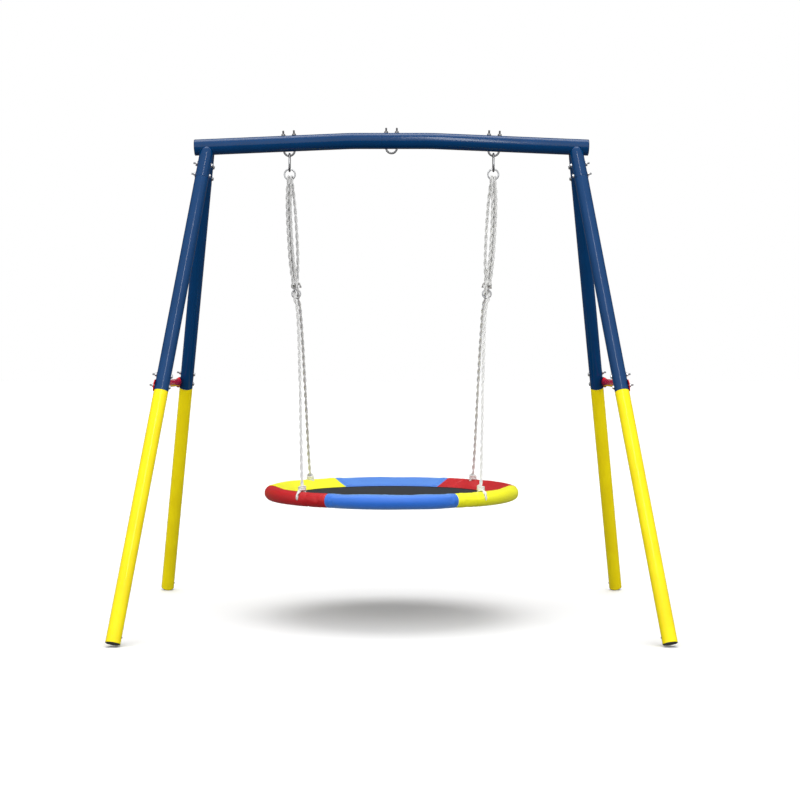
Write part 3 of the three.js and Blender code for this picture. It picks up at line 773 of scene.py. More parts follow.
def hexagon(radius, height, sides=24):
    """A hexagon head or nut standing on Z = 0, with the corners turned down at both faces."""
    flat = radius * math.cos(math.pi / 6)
    turned = np.mod(round_angles(sides), math.pi / 3) - math.pi / 6
    outline = flat / np.cos(turned)
    inner = np.full(sides, flat * 0.97)
    down = (outline - inner) * 0.5
    rings = [level_ring(reach, z, sides) for reach, z in (
        (inner, 0.0), (outline, down), (outline, height - down), (inner, height))]
    along = np.array([0, 1, height - 1, height]) * MM
    return ring_shape(rings, along, 2 * math.pi * radius * MM, True)


def threaded(radius, start, end, pitch=1.25, sides=18):
    """A screw thread along Z, with a chamfered tip at its end."""
    rows = int((end - start) / pitch * 5) + 1
    turn = round_angles(sides) / (2 * math.pi)
    rings = []
    for z in np.linspace(start, end, rows):
        phase = np.mod(z / pitch - turn, 1.0)
        reach = radius - 0.62 * np.abs(2 * phase - 1)
        rings.append(level_ring(np.minimum(reach, radius - 1.0 + (end - z)), z, sides))
    return ring_shape(rings, np.linspace(0, 1, rows) * MM, 1.0, True)


def washer(radius, hole, thickness):
    """A flat washer with eased edges."""
    e = 0.3
    return lathe([(hole, 0), (radius - e, 0), (radius, e), (radius, thickness - e),
                  (radius - e, thickness), (hole, thickness)], 32, closed=True)


# ---- beam and legs ----


def leg_matrix(side, end):
    """A leg's own frame: origin on the beam's axis, z up along the leg, x out to the side."""
    top = Vector((side * LEG_TOP[0], end * LEG_TOP[1], LEG_TOP[2]))
    up = (top - Vector((side * LEG_FOOT[0], end * LEG_FOOT[1], 0))).normalized()
    out = Vector((side * up.z, 0, abs(up.x))).normalized()
    across = up.cross(out)
    return axes_matrix(out, across, up, top)


LEG_UP_Z = leg_matrix(1, 1)[2][2]
LEG_SIN = math.sqrt(1 - LEG_UP_Z ** 2)
LEG_END = (LEG_TOP[2] - LEG_RADIUS * LEG_SIN) / LEG_UP_Z - PLUG_THICKNESS


def swaged_tube(top, shoulder, bottom):
    """A leg tube: its pushed-in top is smaller, with a drawn neck, and its rims are eased."""
    r, s, w, e = LEG_RADIUS, LEG_RADIUS - SWAGE_STEP, LEG_WALL, 0.45
    profile = [
        (r - w, -bottom), (r - e, -bottom), (r, -bottom + e), (r, -shoulder - 3.0),
        (r - 0.5, -shoulder - 0.8), (s + 0.4, -shoulder + 1.6), (s, -shoulder + 4.0),
        (s, -top - e), (s - e, -top), (s - w, -top), (s - w, -shoulder - 2.0), (r - w, -shoulder - 8.0),
    ]
    return lathe(profile, 48, closed=True)


BOLT_WASHER = (9.2, 4.2, 1.4)            # radius, hole's radius and thickness
UBOLT_WASHER = (9.5, 4.1, 1.5)


def through_bolt(height, grip):
    """A bolt across the leg: head inside, then the nut, and its thread standing out."""
    inner, outer = LEG_RADIUS + GAP, LEG_RADIUS + GAP + grip
    head = shifted(hexagon(HEAD_RADIUS, HEAD_HEIGHT - 0.8), z=-inner - HEAD_HEIGHT)
    inner_washer = shifted(washer(*BOLT_WASHER), z=-inner - 0.9)
    shank = tube([(0, 0, -inner), (0, 0, outer)], BOLT_RADIUS - 0.3, 18)
    outer_washer = shifted(washer(*BOLT_WASHER), z=outer - 0.6)
    nut = shifted(hexagon(HEAD_RADIUS, NUT_HEIGHT - 0.8), z=outer + 0.8)
    tip = threaded(BOLT_RADIUS, outer, outer + BOLT_TIP)
    shape = joined([head, inner_washer, shank, outer_washer, nut, tip])
    return shifted(along_x(shape), z=-height)


PLUG_DEPTH = 30.0                        # how far a foot plug goes into its leg
FOOT_SCREW_UP = 24.0


def foot_plug_shape():
    """A plug pushed into the leg, whose thin face covers the tube's cut end."""
    r, z, e = LEG_RADIUS - 0.1, -LEG_END - PLUG_THICKNESS, 0.3
    inner = LEG_RADIUS - LEG_WALL - 0.5
    profile = [(AXIS, z + 0.25), (r - 8, z + 0.25), (r - 7.2, z), (r - e, z), (r, z + e),
               (r, -LEG_END - 0.35), (inner, -LEG_END - 0.35),
               (inner, -LEG_END + (PLUG_DEPTH - 2.0)), (inner - 2.0, -LEG_END + PLUG_DEPTH),
               (AXIS, -LEG_END + PLUG_DEPTH)]
    return lathe(profile, 48)


def foot_screw_shape():
    """The small pan-head screw that holds a foot plug, on the leg's inner side."""
    head = lathe([(AXIS, 2.3), (1.6, 2.2), (3.0, 1.5), (3.6, 0.4), (3.6, -0.6), (AXIS, -0.6)], 24)
    return shifted(moved(head, Matrix.Rotation(-math.pi / 2, 4, "Y")), x=-LEG_RADIUS + 0.1,
                   z=-LEG_END + FOOT_SCREW_UP)


def make_legs():
    for side_name, end_name in CORNERS:
        corner = f"{side_name}_{end_name}"
        matrix = leg_matrix(SIDES[side_name], ENDS[end_name])

        def put(name, shape, material, slot, node, smooth_below=SMOOTH_PART):
            part(f"{name}_{corner}", moved(shape, matrix), material, slot, f"{node}_{corner}",
                 smooth_below)

        upper = swaged_tube(SWAGE_TOP, STUB_LENGTH + GAP, MID_SEAM)
        lower = swaged_tube(MID_SWAGE_TOP, MID_SEAM + GAP, LEG_END)
        put("blue_tube", upper, BLUE_PAINT, "frame_blue", "upper_leg")
        put("yellow_tube", lower, YELLOW_PAINT, "leg_yellow", "lower_leg")
        put("foot_cap", foot_plug_shape(), BLACK_PLASTIC, "black_plastic", "foot_plug")
        bolts = [("stub_bolt_upper", STUB_BOLTS[0], 0), ("stub_bolt_lower", STUB_BOLTS[1], 0),
                 ("mid_bolt_upper", MID_BOLTS[0], 0),
                 ("mid_bolt_lower", MID_BOLTS[1], PLATE_THICKNESS + GAP)]
        for node, height, grip in bolts:
            put(f"hex_{node}", through_bolt(height, grip), ZINC, "zinc_steel", node, SMOOTH_BOLT)
        screw = make(f"foot_screw_{corner}", moved(foot_screw_shape(), matrix), DARK_ZINC)
        trim(outward(screw), "stand")


def beam_line(side, start, end, bend_steps=12):
    """Half of the beam's middle line, straight, then bent a little, then straight again."""
    near, far = BEAM_BEND_X - BEAM_BEND_REACH, BEAM_BEND_X + BEAM_BEND_REACH
    points = [(start, 0, BEAM_MID_Z)]
    for t in np.linspace(0, 1, bend_steps + 1):
        x = (1 - t) ** 2 * near + 2 * t * (1 - t) * BEAM_BEND_X + t * t * far
        drop = t * t * (BEAM_MID_Z - beam_z(far))
        points.append((side * x, 0, BEAM_MID_Z - drop))
    points.append((side * end, 0, beam_z(end)))
    return np.array(points, float)


def hollow_along(line, radius, wall, sides=56):
    """A tube along a line, open at both ends, with its rims eased."""
    ease = 0.5
    first, last = unit(line[1] - line[0]), unit(line[-1] - line[-2])
    outer_line = np.vstack([line[:1], line[:1] + first * ease, line[1:-1],
                            line[-1:] - last * ease, line[-1:]])
    radii = np.full(len(outer_line), radius)
    radii[0] = radii[-1] = radius - ease
    out_points, out_faces, out_places = tube(outer_line, radii, sides, caps=False)
    in_points, in_faces, in_places = tube(line, radius - wall, sides, caps=False)
    count = len(out_points)
    faces = out_faces + [tuple(reversed([v + count for v in face])) for face in in_faces]
    places = out_places + [tuple(reversed(place)) for place in in_places]
    for out_row, in_row in ((0, 0), (len(outer_line) - 1, len(line) - 1)):
        for j in range(sides):
            k = (j + 1) % sides
            a, b = out_row * sides, count + in_row * sides
            face = (a + j, b + j, b + k, a + k)
            faces.append(face if out_row == 0 else tuple(reversed(face)))
            places.append(((0.0, 0.0),) * 4)
    return np.vstack([out_points, in_points]), faces, places


# A stub's top is closed in and rounded, so that it runs into the beam.
STUB_PROFILE = [
    (12.0, -2.0), (18.0, -6.0), (22.5, -12.0), (25.4, -21.0), (26.7, -33.0), (LEG_RADIUS, -46.0),
    (LEG_RADIUS, -STUB_LENGTH + 0.5), (LEG_RADIUS - 0.5, -STUB_LENGTH),
    (LEG_RADIUS - LEG_WALL, -STUB_LENGTH), (LEG_RADIUS - LEG_WALL, -46.0), (20.0, -18.0),
    (12.0, -6.0),
]


def weld_beads(side, end):
    """Ripples of weld where a stub meets the beam, left out inside the other stub."""
    matrix = np.array(leg_matrix(side, end))
    axis_point = np.array([side * LEG_TOP[0], 0.0, beam_z(LEG_TOP[0])])
    axis = unit(np.array([side * 1.0, 0.0, -BEAM_SLOPE]))
    down = -matrix[:3, 2]
    slope = down - axis * (down @ axis)
    line, valid = [], []
    for angle in np.linspace(0, 2 * math.pi, 97)[:-1]:
        local = np.array([LEG_RADIUS * math.cos(angle), LEG_RADIUS * math.sin(angle), 0.0])
        start = matrix[:3, :3] @ local + matrix[:3, 3]
        away = start - axis_point
        away -= axis * (away @ axis)
        a, b = slope @ slope, 2 * (away @ slope)
        c = away @ away - (BEAM_RADIUS + 0.2) ** 2
        reach = (-b + math.sqrt(max(0.0, b * b - 4 * a * c))) / (2 * a)
        line.append(start + down * reach)
        valid.append(c < 0 and reach > 12)
    line, valid = np.array(line), np.array(valid)
    other = np.linalg.inv(np.array(leg_matrix(side, -end)))
    local = line @ other[:3, :3].T + other[:3, 3]
    inside = (np.hypot(local[:, 0], local[:, 1]) < LEG_RADIUS - 0.5) & (local[:, 2] < 0)
    keep = valid & ~inside
    first = int(np.argmin(keep))
    line, keep = np.roll(line, -first, axis=0), np.roll(keep, -first)
    beads, run = [], []
    for point, kept in zip(np.vstack([line, line[:1]]), np.append(keep, False)):
        if kept:
            run.append(point)
            continue
        if len(run) > 5:
            path = smooth_line(run, spacing=1.2)
            reach = lengths(path)
            ripple = 2.0 + 0.3 * np.sin(reach * 2 * math.pi / 5.0)
            fade = np.minimum(1.0, np.minimum(reach, reach[-1] - reach) / 9.0)
            beads.append(tube(path, 0.6 + (ripple - 0.6) * fade, 12))
        run = []
    return beads


SPIGOT = (-60.0, 50.0)                   # where the inner tube that joins the halves ends


def beam_half(side_name):
    """Half the beam with its welded stubs, and the spigot inside the left half's end."""
    side = SIDES[side_name]
    seam = BEAM_SEAM_X if side > 0 else BEAM_SEAM_X - GAP
    body = hollow_along(beam_line(side, seam, BEAM_HALF_LENGTH), BEAM_RADIUS, BEAM_WALL)
    parts = [body]
    for end in ENDS.values():
        parts.append(moved(lathe(STUB_PROFILE, 48, closed=True), leg_matrix(side, end)))
        parts += weld_beads(side, end)
    if side < 0:
        spigot = np.array([(x, 0, BEAM_MID_Z) for x in SPIGOT])
        parts.append(hollow_along(spigot, BEAM_RADIUS - 2.2, BEAM_WALL))
    part(f"beam_tube_{side_name}", joined(parts), BLUE_PAINT, "frame_blue", f"{side_name}_beam")


def beam_cap(side_name):
    """The thin push-in plug at a beam's end."""
    side, r = SIDES[side_name], BEAM_RADIUS
    profile = [(AXIS, 2.6), (r - 9, 2.4), (r - 3, 1.9), (r - 0.9, 1.3), (r - 0.1, 0.5),
               (r - 0.1, 0.2), (r - BEAM_WALL - 0.2, 0.2), (r - BEAM_WALL - 0.2, -14),
               (r - BEAM_WALL - 2, -16), (AXIS, -16)]
    turn = Matrix.Rotation(side * (math.pi / 2 + UBOLT_TILT), 4, "Y")
    shape = shifted(moved(lathe(profile), turn), x=side * BEAM_HALF_LENGTH,
                    z=beam_z(BEAM_HALF_LENGTH))
    trim(outward(make(f"beam_cap_{side_name}", shape, BLACK_PLASTIC)), "stand")


def make_beam():
    for side_name in SIDES:
        beam_half(side_name)
        beam_cap(side_name)


BRACE_CORNER = 16.0


def brace(side_name, sides=40):
    """A tube with both ends pressed flat, the corners of the flats rounded."""
    side = SIDES[side_name]
    matrix = leg_matrix(side, 1)
    bolt = matrix @ Vector((LEG_RADIUS + GAP + PLATE_THICKNESS / 2, 0, -MID_BOLTS[1]))
    out = (matrix.to_3x3() @ Vector((1, 0, 0))).normalized()
    along = Vector((0, side, 0))
    half = bolt.y + BRACE_PAST_BOLT
    flat_from = half - BRACE_FLAT_LENGTH
    round_to = flat_from - BRACE_TRANSITION
    corner_from = half - BRACE_CORNER
    stations = [0.0, round_to * 0.5, round_to]
    stations += list(np.linspace(round_to, flat_from, 13)[1:])
    stations += list(np.linspace(flat_from, corner_from, 5)[1:])
    stations += [corner_from + BRACE_CORNER * math.sin(a) for a in np.linspace(0, 1.45, 9)[1:]]
    stations = [-s for s in reversed(stations[1:])] + stations
    angle = round_angles(sides)
    rings = []
    for y in stations:
        t = min(1.0, max(0.0, (abs(y) - round_to) / BRACE_TRANSITION))
        t = t * t * (3 - 2 * t)
        thick = BRACE_RADIUS + (PLATE_THICKNESS / 2 - BRACE_RADIUS) * t
        height = BRACE_RADIUS + (BRACE_FLAT_HALF_HEIGHT - BRACE_RADIUS) * t
        past = max(0.0, abs(y) - corner_from)
        height -= BRACE_CORNER - math.sqrt(max(0.0, BRACE_CORNER ** 2 - past ** 2))
        power = 2 / (2 + 5 * t)
        x = np.sign(np.cos(angle)) * np.abs(np.cos(angle)) ** power * thick
        z = np.sign(np.sin(angle)) * np.abs(np.sin(angle)) ** power * height
        rings.append(np.stack([x, np.full(sides, y), z], axis=1))
    shape = ring_shape(rings, (np.array(stations) + half) * MM, 0.094, True)
    frame_matrix = axes_matrix(out, along, out.cross(along), (bolt.x, 0, bolt.z))
    part(f"brace_tube_{side_name}", moved(shape, frame_matrix), RED_PAINT, "brace_red",
         f"side_brace_{side_name}", SMOOTH_BRACE)


# ---- hanging hardware ----


def ubolt_shape():
    """A bent round bar with a washer and a nut on each thread, standing across Z = 0."""
    arc_z = -BEAM_RADIUS - UBOLT_DROP + UBOLT_RADIUS + UBOLT_HALF_SPACING
    top = BEAM_RADIUS + 1.0
    s = UBOLT_HALF_SPACING
    line = [(-s, 0, top)]
    line += [(s * math.cos(a), 0, arc_z + s * math.sin(a))
             for a in np.linspace(math.pi, 2 * math.pi, 25)]
    line.append((s, 0, top))
    parts = [tube(line, UBOLT_RADIUS - 0.1, 16)]
    for x in (-s, s):
        tip = threaded(UBOLT_RADIUS, BEAM_RADIUS - 1, BEAM_RADIUS + UBOLT_RISE)
        parts.append(shifted(tip, x=x))
        parts.append(shifted(washer(*UBOLT_WASHER), x=x, z=BEAM_RADIUS - 0.5))
        parts.append(shifted(hexagon(HEAD_RADIUS, NUT_HEIGHT - 1), x=x, z=BEAM_RADIUS + 1.1))
    return joined(parts)


def make_ubolts():
    for name, place in (("left", -1), ("centre", 0), ("right", 1)):
        x = place * UBOLT_X
        matrix = Matrix.Translation((x, 0, beam_z(x))) @ Matrix.Rotation(place * UBOLT_TILT, 4, "Y")
        part(f"eye_bolt_{name}", moved(ubolt_shape(), matrix), DARK_ZINC, "zinc_steel",
             f"ubolt_{name}", SMOOTH_BOLT)


def hook_shape():
    """The hook's bent rod, with a notched nose over the gate and a flat tongue at its hinge."""
    top, bottom = HOOK_TOP - HOOK_BEND, HOOK_BOTTOM + HOOK_BEND
    bend = np.linspace(0, math.pi, 21)
    line = [(0, -HOOK_BEND, GATE_PIVOT + GATE_LENGTH + 0.7)]
    line += [(0, -HOOK_BEND * math.cos(a), top + HOOK_BEND * math.sin(a)) for a in bend]
    line += [(0, HOOK_BEND * math.cos(a), bottom - HOOK_BEND * math.sin(a)) for a in bend]
    line.append((0, -HOOK_BEND, GATE_PIVOT - HOOK_ROD - 0.6))
    line = np.array(line, float)
    ease = 0.8
    line = np.vstack([line[0], line[0] + (0, 0, ease), line[1:-1], line[-1] - (0, 0, ease),
                      line[-1]])
    radii = np.full(len(line), HOOK_ROD)
    radii[0] = radii[-1] = HOOK_ROD - ease
    tongue = lathe([(AXIS, -1.4), (3.3, -1.4), (3.6, -1.1), (3.6, 1.1), (3.3, 1.4), (AXIS, 1.4)],
                   28)
    stem = tube([(0, -HOOK_BEND, GATE_PIVOT - HOOK_ROD - 1.5), (0, -HOOK_BEND, GATE_PIVOT)],
                1.4, 12)
    pin = lathe([(AXIS, -4.6), (1.5, -4.6), (1.9, -4.0), (1.1, -3.9), (1.1, 3.9), (1.9, 4.0),
                 (1.5, 4.6), (AXIS, 4.6)], 20)
    eye = shifted(along_x(tongue), y=-HOOK_BEND, z=GATE_PIVOT)
    pin = shifted(along_x(pin), y=-HOOK_BEND, z=GATE_PIVOT)
    return joined([tube(line, radii, 20), eye, stem, pin])


CHEEK_X = 2.65


def gate_shape():
    """The sprung gate: a rod with two cheeks that straddle the tongue."""
    wide, narrow, length = HOOK_ROD - 0.1, HOOK_ROD - 0.5, GATE_LENGTH
    stem = lathe([(AXIS, 4.4), (HOOK_ROD - 0.6, 4.4), (wide, 5.0), (wide, length - 3.5),
                  (narrow, length - 3.2), (narrow, length - 2.6), (wide, length - 2.3),
                  (wide, length - 0.9), (HOOK_ROD - 0.9, length), (AXIS, length)], 28)
    parts = [stem]
    for x in (-CHEEK_X, CHEEK_X):
        disc = lathe([(1.25, -0.75), (3.5, -0.75), (3.8, -0.45), (3.8, 0.45), (3.5, 0.75),
                      (1.25, 0.75)], 28, closed=True)
        parts.append(shifted(along_x(disc), x=x))
        parts.append(tube([(x, 0, 1.5), (x, 0, 5.2)], 0.95, 10))
    return joined(parts)


RING_STEPS = 64
RING_WELD = 23                           # the step round a ring where its ends are joined


def ring_line(radius, tilt, centre):
    turn = Matrix.Rotation(tilt, 3, "Y")
    return np.array([turn @ Vector((radius * math.cos(a), 0, radius * math.sin(a))) + centre
                     for a in round_angles(RING_STEPS)])


def ring_piece(name, size, side, z, node, sides=18):
    """A welded ring, a little thicker where its ends are joined."""
    radius, rod = size
    line = ring_line(radius, side * HANG_TILT, Vector((side * hang_x(z), 0, z)))
    centre = line.mean(axis=0)
    angle = round_angles(sides)
    across = np.array([0.0, 1.0, 0.0])
    rings = []
    for i, point in enumerate(line):
        away = (point - centre) / radius
        swell = rod + 0.45 * math.exp(-(((i - RING_WELD) / 1.3) ** 2))
        rings.append(point + away * (swell * np.cos(angle))[:, None]
                     + across * (swell * np.sin(angle))[:, None])
    rings.append(rings[0])
    shape = loop_shape(rings, np.arange(RING_STEPS + 1) * MM, 0.02)
    part(name, shape, ZINC, "zinc_steel", node, SMOOTH_ROPE)


def make_hanging():
    for side_name, side in SIDES.items():
        part(f"snap_hook_rod_{side_name}", shifted(hook_shape(), x=side * HOOK_X), DARK_ZINC,
             "zinc_steel", f"snap_hook_{side_name}")
        gate = shifted(gate_shape(), x=side * HOOK_X, y=-HOOK_BEND, z=GATE_PIVOT)
        part(f"snap_hook_gate_{side_name}", gate, ZINC, "zinc_steel", f"hook_gate_{side_name}")
        ring_piece(f"welded_ring_top_{side_name}", TOP_RING, side, TOP_RING_Z,
                   f"top_ring_{side_name}")
        ring_piece(f"welded_ring_low_{side_name}", LOW_RING, side, LOW_RING_Z,
                   f"lower_ring_{side_name}")


# ---- seat ----

COVER_SPAN = math.pi / 3
COVER_STEPS = 84
# Name, colour, start angle and, where a rope is tied on, that corner's side and end.
COVER_LIST = [
    ("front", "blue", -120, None), ("front_right", "yellow", -60, ("right", "front")),
    ("rear_right", "red", 0, ("right", "rear")), ("rear", "blue", 60, None),
    ("rear_left", "yellow", 120, ("left", "rear")), ("front_left", "red", 180, ("left", "front")),
]
ROUND_FROM = math.radians(-168.4)        # where the underside meets the round part
ROUND_TO = math.radians(108.9)           # where the slope leaves it
ROUND_POINTS = 36
SLOPE_POINTS = 15
EDGE_POINTS = ((-94.3, -3.8), (-95.0, -4.55), (-94.3, -5.3))
UNDER_POINTS = 4
COVER_SIDES = ROUND_POINTS + SLOPE_POINTS + len(EDGE_POINTS) + UNDER_POINTS
COVER_LENGTH = RIM_RADIUS * COVER_SPAN
JOIN_SEAM = 84.0                         # from a corner sleeve's hem at the seat's front or rear
HEM_STITCH = 13.0                        # from the hem to its row of stitches


def rim_place(angle, out, up):
    """A point at an angle round the rim, by how far out and up it is from the tube's middle."""
    return ((RIM_RADIUS + out) * math.cos(angle), (RIM_RADIUS + out) * math.sin(angle), RIM_Z + up)


def dip(along, centre, width, depth):
    return depth * math.exp(-(((along - centre) / width) ** 2))


def sleeve_swell(along, around, number, seam):
    """How far a sleeve's skin stands above its plain section: turned in at its hems, crowned
    between them, with soft puckers that fade away from each hem."""
    edge = min(along, COVER_LENGTH - along)
    swell = -1.7 * math.exp(-((edge / 2.2) ** 1.5)) - dip(edge, 13.0, 2.2, 0.5)
    swell += 0.5 * math.sin(math.pi * along / COVER_LENGTH) - 0.4
    pucker = 0.45 * math.sin(11 * around + 2.1 * number) * math.sin(5 * around + number)
    swell += pucker * (math.exp(-((edge - 16.0) / 14.0) ** 2) if edge > 6 else 0.3)
    swell += 0.35 * math.sin(along / 37.0 + 1.7 * number) * math.cos(around * 2 + number)
    if seam is not None:
        swell -= dip(along, seam, 2.8, 3.4)
        swell += 0.4 * math.exp(-(((along - seam) / 9.0) ** 2)) * math.sin(9 * around + number)
    return swell


def sleeve_section(along, number, seam):
    """A sleeve's section as (out, up) from the rim's middle: round on the outside, with a slope
    that runs in and down to a thin edge on the mat."""
    section = []
    for a in np.linspace(ROUND_FROM, ROUND_TO, ROUND_POINTS):
        reach = PAD_RADIUS + sleeve_swell(along, a, number, seam)
        section.append((reach * math.cos(a), reach * math.sin(a)))
    across = np.array([math.cos(ROUND_TO), math.sin(ROUND_TO)])
    top, edge = PAD_RADIUS * across, np.array(EDGE_POINTS[0])
    for t in np.linspace(0, 1, SLOPE_POINTS + 1)[1:]:
        swell = sleeve_swell(along, ROUND_TO + 1.6 * t, number, seam)
        lift = swell * (1 - t ** 1.5) - 0.7 * math.sin(math.pi * t) - dip(t, 0.9, 0.03, 0.5)
        section.append(tuple(top + (edge - top) * t + across * lift))
    section[-1] = EDGE_POINTS[0]
    section += EDGE_POINTS[1:]
    inner = PAD_RADIUS * math.cos(ROUND_FROM)
    low = EDGE_POINTS[-1][1]
    for t in np.linspace(0, 1, UNDER_POINTS + 3)[1:-1]:
        section.append((EDGE_POINTS[-1][0] + (inner - EDGE_POINTS[-1][0]) * t, low))
    return section[:COVER_SIDES]


def sleeve_shape(start, number, seam):
    """A padded sleeve's skin, with rings drawn together at its hems and at its join."""
    trim_angle = 0.15 / RIM_RADIUS
    first, last = start + trim_angle, start + COVER_SPAN - trim_angle
    shares = np.linspace(0, 1, COVER_STEPS + 1)
    shares = shares - 0.6 * np.sin(2 * math.pi * shares) / (2 * math.pi)
    if seam is not None:
        for value in seam / COVER_LENGTH + np.linspace(-0.009, 0.009, 9):
            shares[np.argmin(np.abs(shares - value))] = value
    shares = np.sort(np.clip(shares, 0, 1))
    rings, along = [], []

    def ring(share, section):
        angle = first + (last - first) * share
        rings.append([rim_place(angle, out, up) for out, up in section])
        along.append(share * COVER_LENGTH * MM)

    for share in shares:
        ring(share, sleeve_section(share * COVER_LENGTH, number, seam))
    # The hem turns in at each end, and the filling's bore joins the two ends.
    section = np.array(sleeve_section(COVER_LENGTH / 2, number, None))
    for share in np.linspace(1, 0, 25):
        ring(share, unit_rows(section) * PAD_BORE)
    rings.append(rings[0])
    along.append(along[0])
    return loop_shape(rings, along, lengths(np.vstack([section, section[:1]])) * MM)


SETTLE_FRAMES = 12
FILL_PRESSURE = 2.2
CLOTH_CAP = 0.0015                       # metres that the fabric may move
HELD_ROWS = 3
EASED_ROWS = 7


def hold_edges(piece):
    """A vertex group that holds the bore, the hems and the thin edge, and eases off near hems."""
    held = piece.vertex_groups.new(name="held")
    skin = (COVER_STEPS + 1) * COVER_SIDES
    for index in range(len(piece.data.vertices)):
        row, column = divmod(index, COVER_SIDES)
        edge = min(row, COVER_STEPS - row)
        fixed = index >= skin or edge <= HELD_ROWS or column >= ROUND_POINTS + SLOPE_POINTS - 2
        if fixed or edge <= EASED_ROWS:
            held.add([index], 1.0 if fixed else 0.5, "REPLACE")


def inflate(piece):
    """Lets the fabric settle over its filling by cloth simulation, and keeps the result."""
    mesh = piece.data
    before = np.array([v.co for v in mesh.vertices])
    hold_edges(piece)
    cloth = piece.modifiers.new("cloth", "CLOTH")
    settings = cloth.settings
    settings.vertex_group_mass = "held"
    settings.use_pressure = True
    settings.uniform_pressure_force = FILL_PRESSURE
    settings.effector_weights.gravity = 0.0
    settings.shrink_min = -0.004
    settings.tension_stiffness = 12
    settings.bending_stiffness = 0.4
    settings.quality = 5
    cloth.point_cache.frame_start = 1
    cloth.point_cache.frame_end = SETTLE_FRAMES
    scene = bpy.context.scene
    for number in range(1, SETTLE_FRAMES + 1):
        scene.frame_set(number)
    graph = bpy.context.evaluated_depsgraph_get()
    result = piece.evaluated_get(graph).to_mesh()
    after = np.array([v.co for v in result.vertices])
    piece.evaluated_get(graph).to_mesh_clear()
    piece.modifiers.remove(cloth)
    scene.frame_set(1)
    shift = after - before
    size = np.linalg.norm(shift, axis=1)[:, None]
    shift *= np.minimum(1.0, CLOTH_CAP / np.maximum(size, 1e-9))
    mesh.vertices.foreach_set("co", (before + shift).ravel())
    mesh.update()


STITCH_PITCH = 4.6
STITCH_LENGTH = 3.5
STITCH_RADIUS = 0.5
STITCH_LIFT = 0.1
STITCH_BOW = ((0.0, -0.8), (0.18, 0.55), (0.5, 1.0), (0.82, 0.55), (1.0, -0.8))


def stitches(line, normals):
    """Short stitches lying along a line, each bowed up at its middle."""
    line, normals = np.array(line), np.array(normals)
    reach = lengths(line)
    parts = []
    place = STITCH_PITCH / 2
    while place + STITCH_LENGTH < reach[-1]:
        points = []
        for t, bow in STITCH_BOW:
            s = place + STITCH_LENGTH * t
            point = [np.interp(s, reach, line[:, i]) for i in range(3)]
            normal = [np.interp(s, reach, normals[:, i]) for i in range(3)]
            lift = STITCH_LIFT + bow * STITCH_RADIUS
            points.append(np.array(point) + np.array(normal) * lift)
        parts.append(tube(points, STITCH_RADIUS, 6))
        place += STITCH_PITCH
    return joined(parts)


def rim_normal(angle, out, up):
    return out * math.cos(angle), out * math.sin(angle), up


def hem_stitches(start, number, seam):
    """The sewn row round each end of a sleeve, and two rows along its thin edge."""
    parts = []
    visible = ROUND_POINTS + SLOPE_POINTS
    for along in (HEM_STITCH, COVER_LENGTH - HEM_STITCH):
        angle = start + along / RIM_RADIUS
        section = np.array(sleeve_section(along, number, seam))[:visible]
        step = np.gradient(section, axis=0)
        normal = unit_rows(np.stack([step[:, 1], -step[:, 0]], axis=1))
        parts.append(stitches([rim_place(angle, *place) for place in section],
                              [rim_normal(angle, *n) for n in normal]))
    for column in (visible - 2, visible - 3):
        line, away = [], []
        for along in np.linspace(HEM_STITCH + 1.5, COVER_LENGTH - HEM_STITCH - 1.5, 180):
            angle = start + along / RIM_RADIUS
            line.append(rim_place(angle, *sleeve_section(along, number, seam)[column]))
            away.append(rim_normal(angle, math.cos(ROUND_TO), math.sin(ROUND_TO)))
        parts.append(stitches(line, away))
    return joined(parts)


SLIT_RADIUS = 6.3


def cut_slit(piece, side_name, end_name):
    """Opens the sleeve where the rope goes in round the rim, widest where it sinks in."""
    line = tie_line(SIDES[side_name], ENDS[end_name], spacing=3.0)
    share = lengths(line) / lengths(line)[-1]
    radius = SLIT_RADIUS + 1.5 * np.exp(-(((share - 0.25) / 0.09) ** 2))
    room = outward(make("slit", tube(line, radius, 18), BLACK_PLASTIC))
    combine(piece, room, "DIFFERENCE")


def make_covers():
    for number, (name, colour, degrees, corner) in enumerate(COVER_LIST):
        start, slot = math.radians(degrees), f"cover_{colour}"
        seam = None
        if corner:
            seam = JOIN_SEAM if name in ("front_right", "rear_left") else COVER_LENGTH - JOIN_SEAM
        shape = sleeve_shape(start, number, seam)
        piece = outward(make(f"sleeve_{name}", shape, COVER_CLOTH[colour], SMOOTH_CLOTH))
        inflate(piece)
        if corner:
            cut_slit(piece, *corner)
        stand_for(piece, slot, f"cover_{name}")
        sewn = hem_stitches(start, number, seam)
        sewn = make(f"hem_stitches_{name}", sewn, COVER_THREAD[colour], SMOOTH_ROPE)
        trim(sewn, "seat")


MAT_SAG = 1.7
MAT_THICKNESS = 1.5


def mat_height(r, angle):
    """The top of the stretched mat: it sags to the middle and dips between the ropes."""
    share = r / MAT_EDGE
    sag = MAT_SAG * (1 - share * share)
    wave = 0.25 * share ** 4 * math.cos(4 * angle + math.pi) * (1 - share ** 12)
    x, y = r * math.cos(angle), r * math.sin(angle)
    ripple = 0.2 * math.sin(x / 61.0 + 1.1) * math.sin(y / 53.0) * (1 - share ** 6)
    return MAT_TOP - 0.3 - sag + wave + ripple


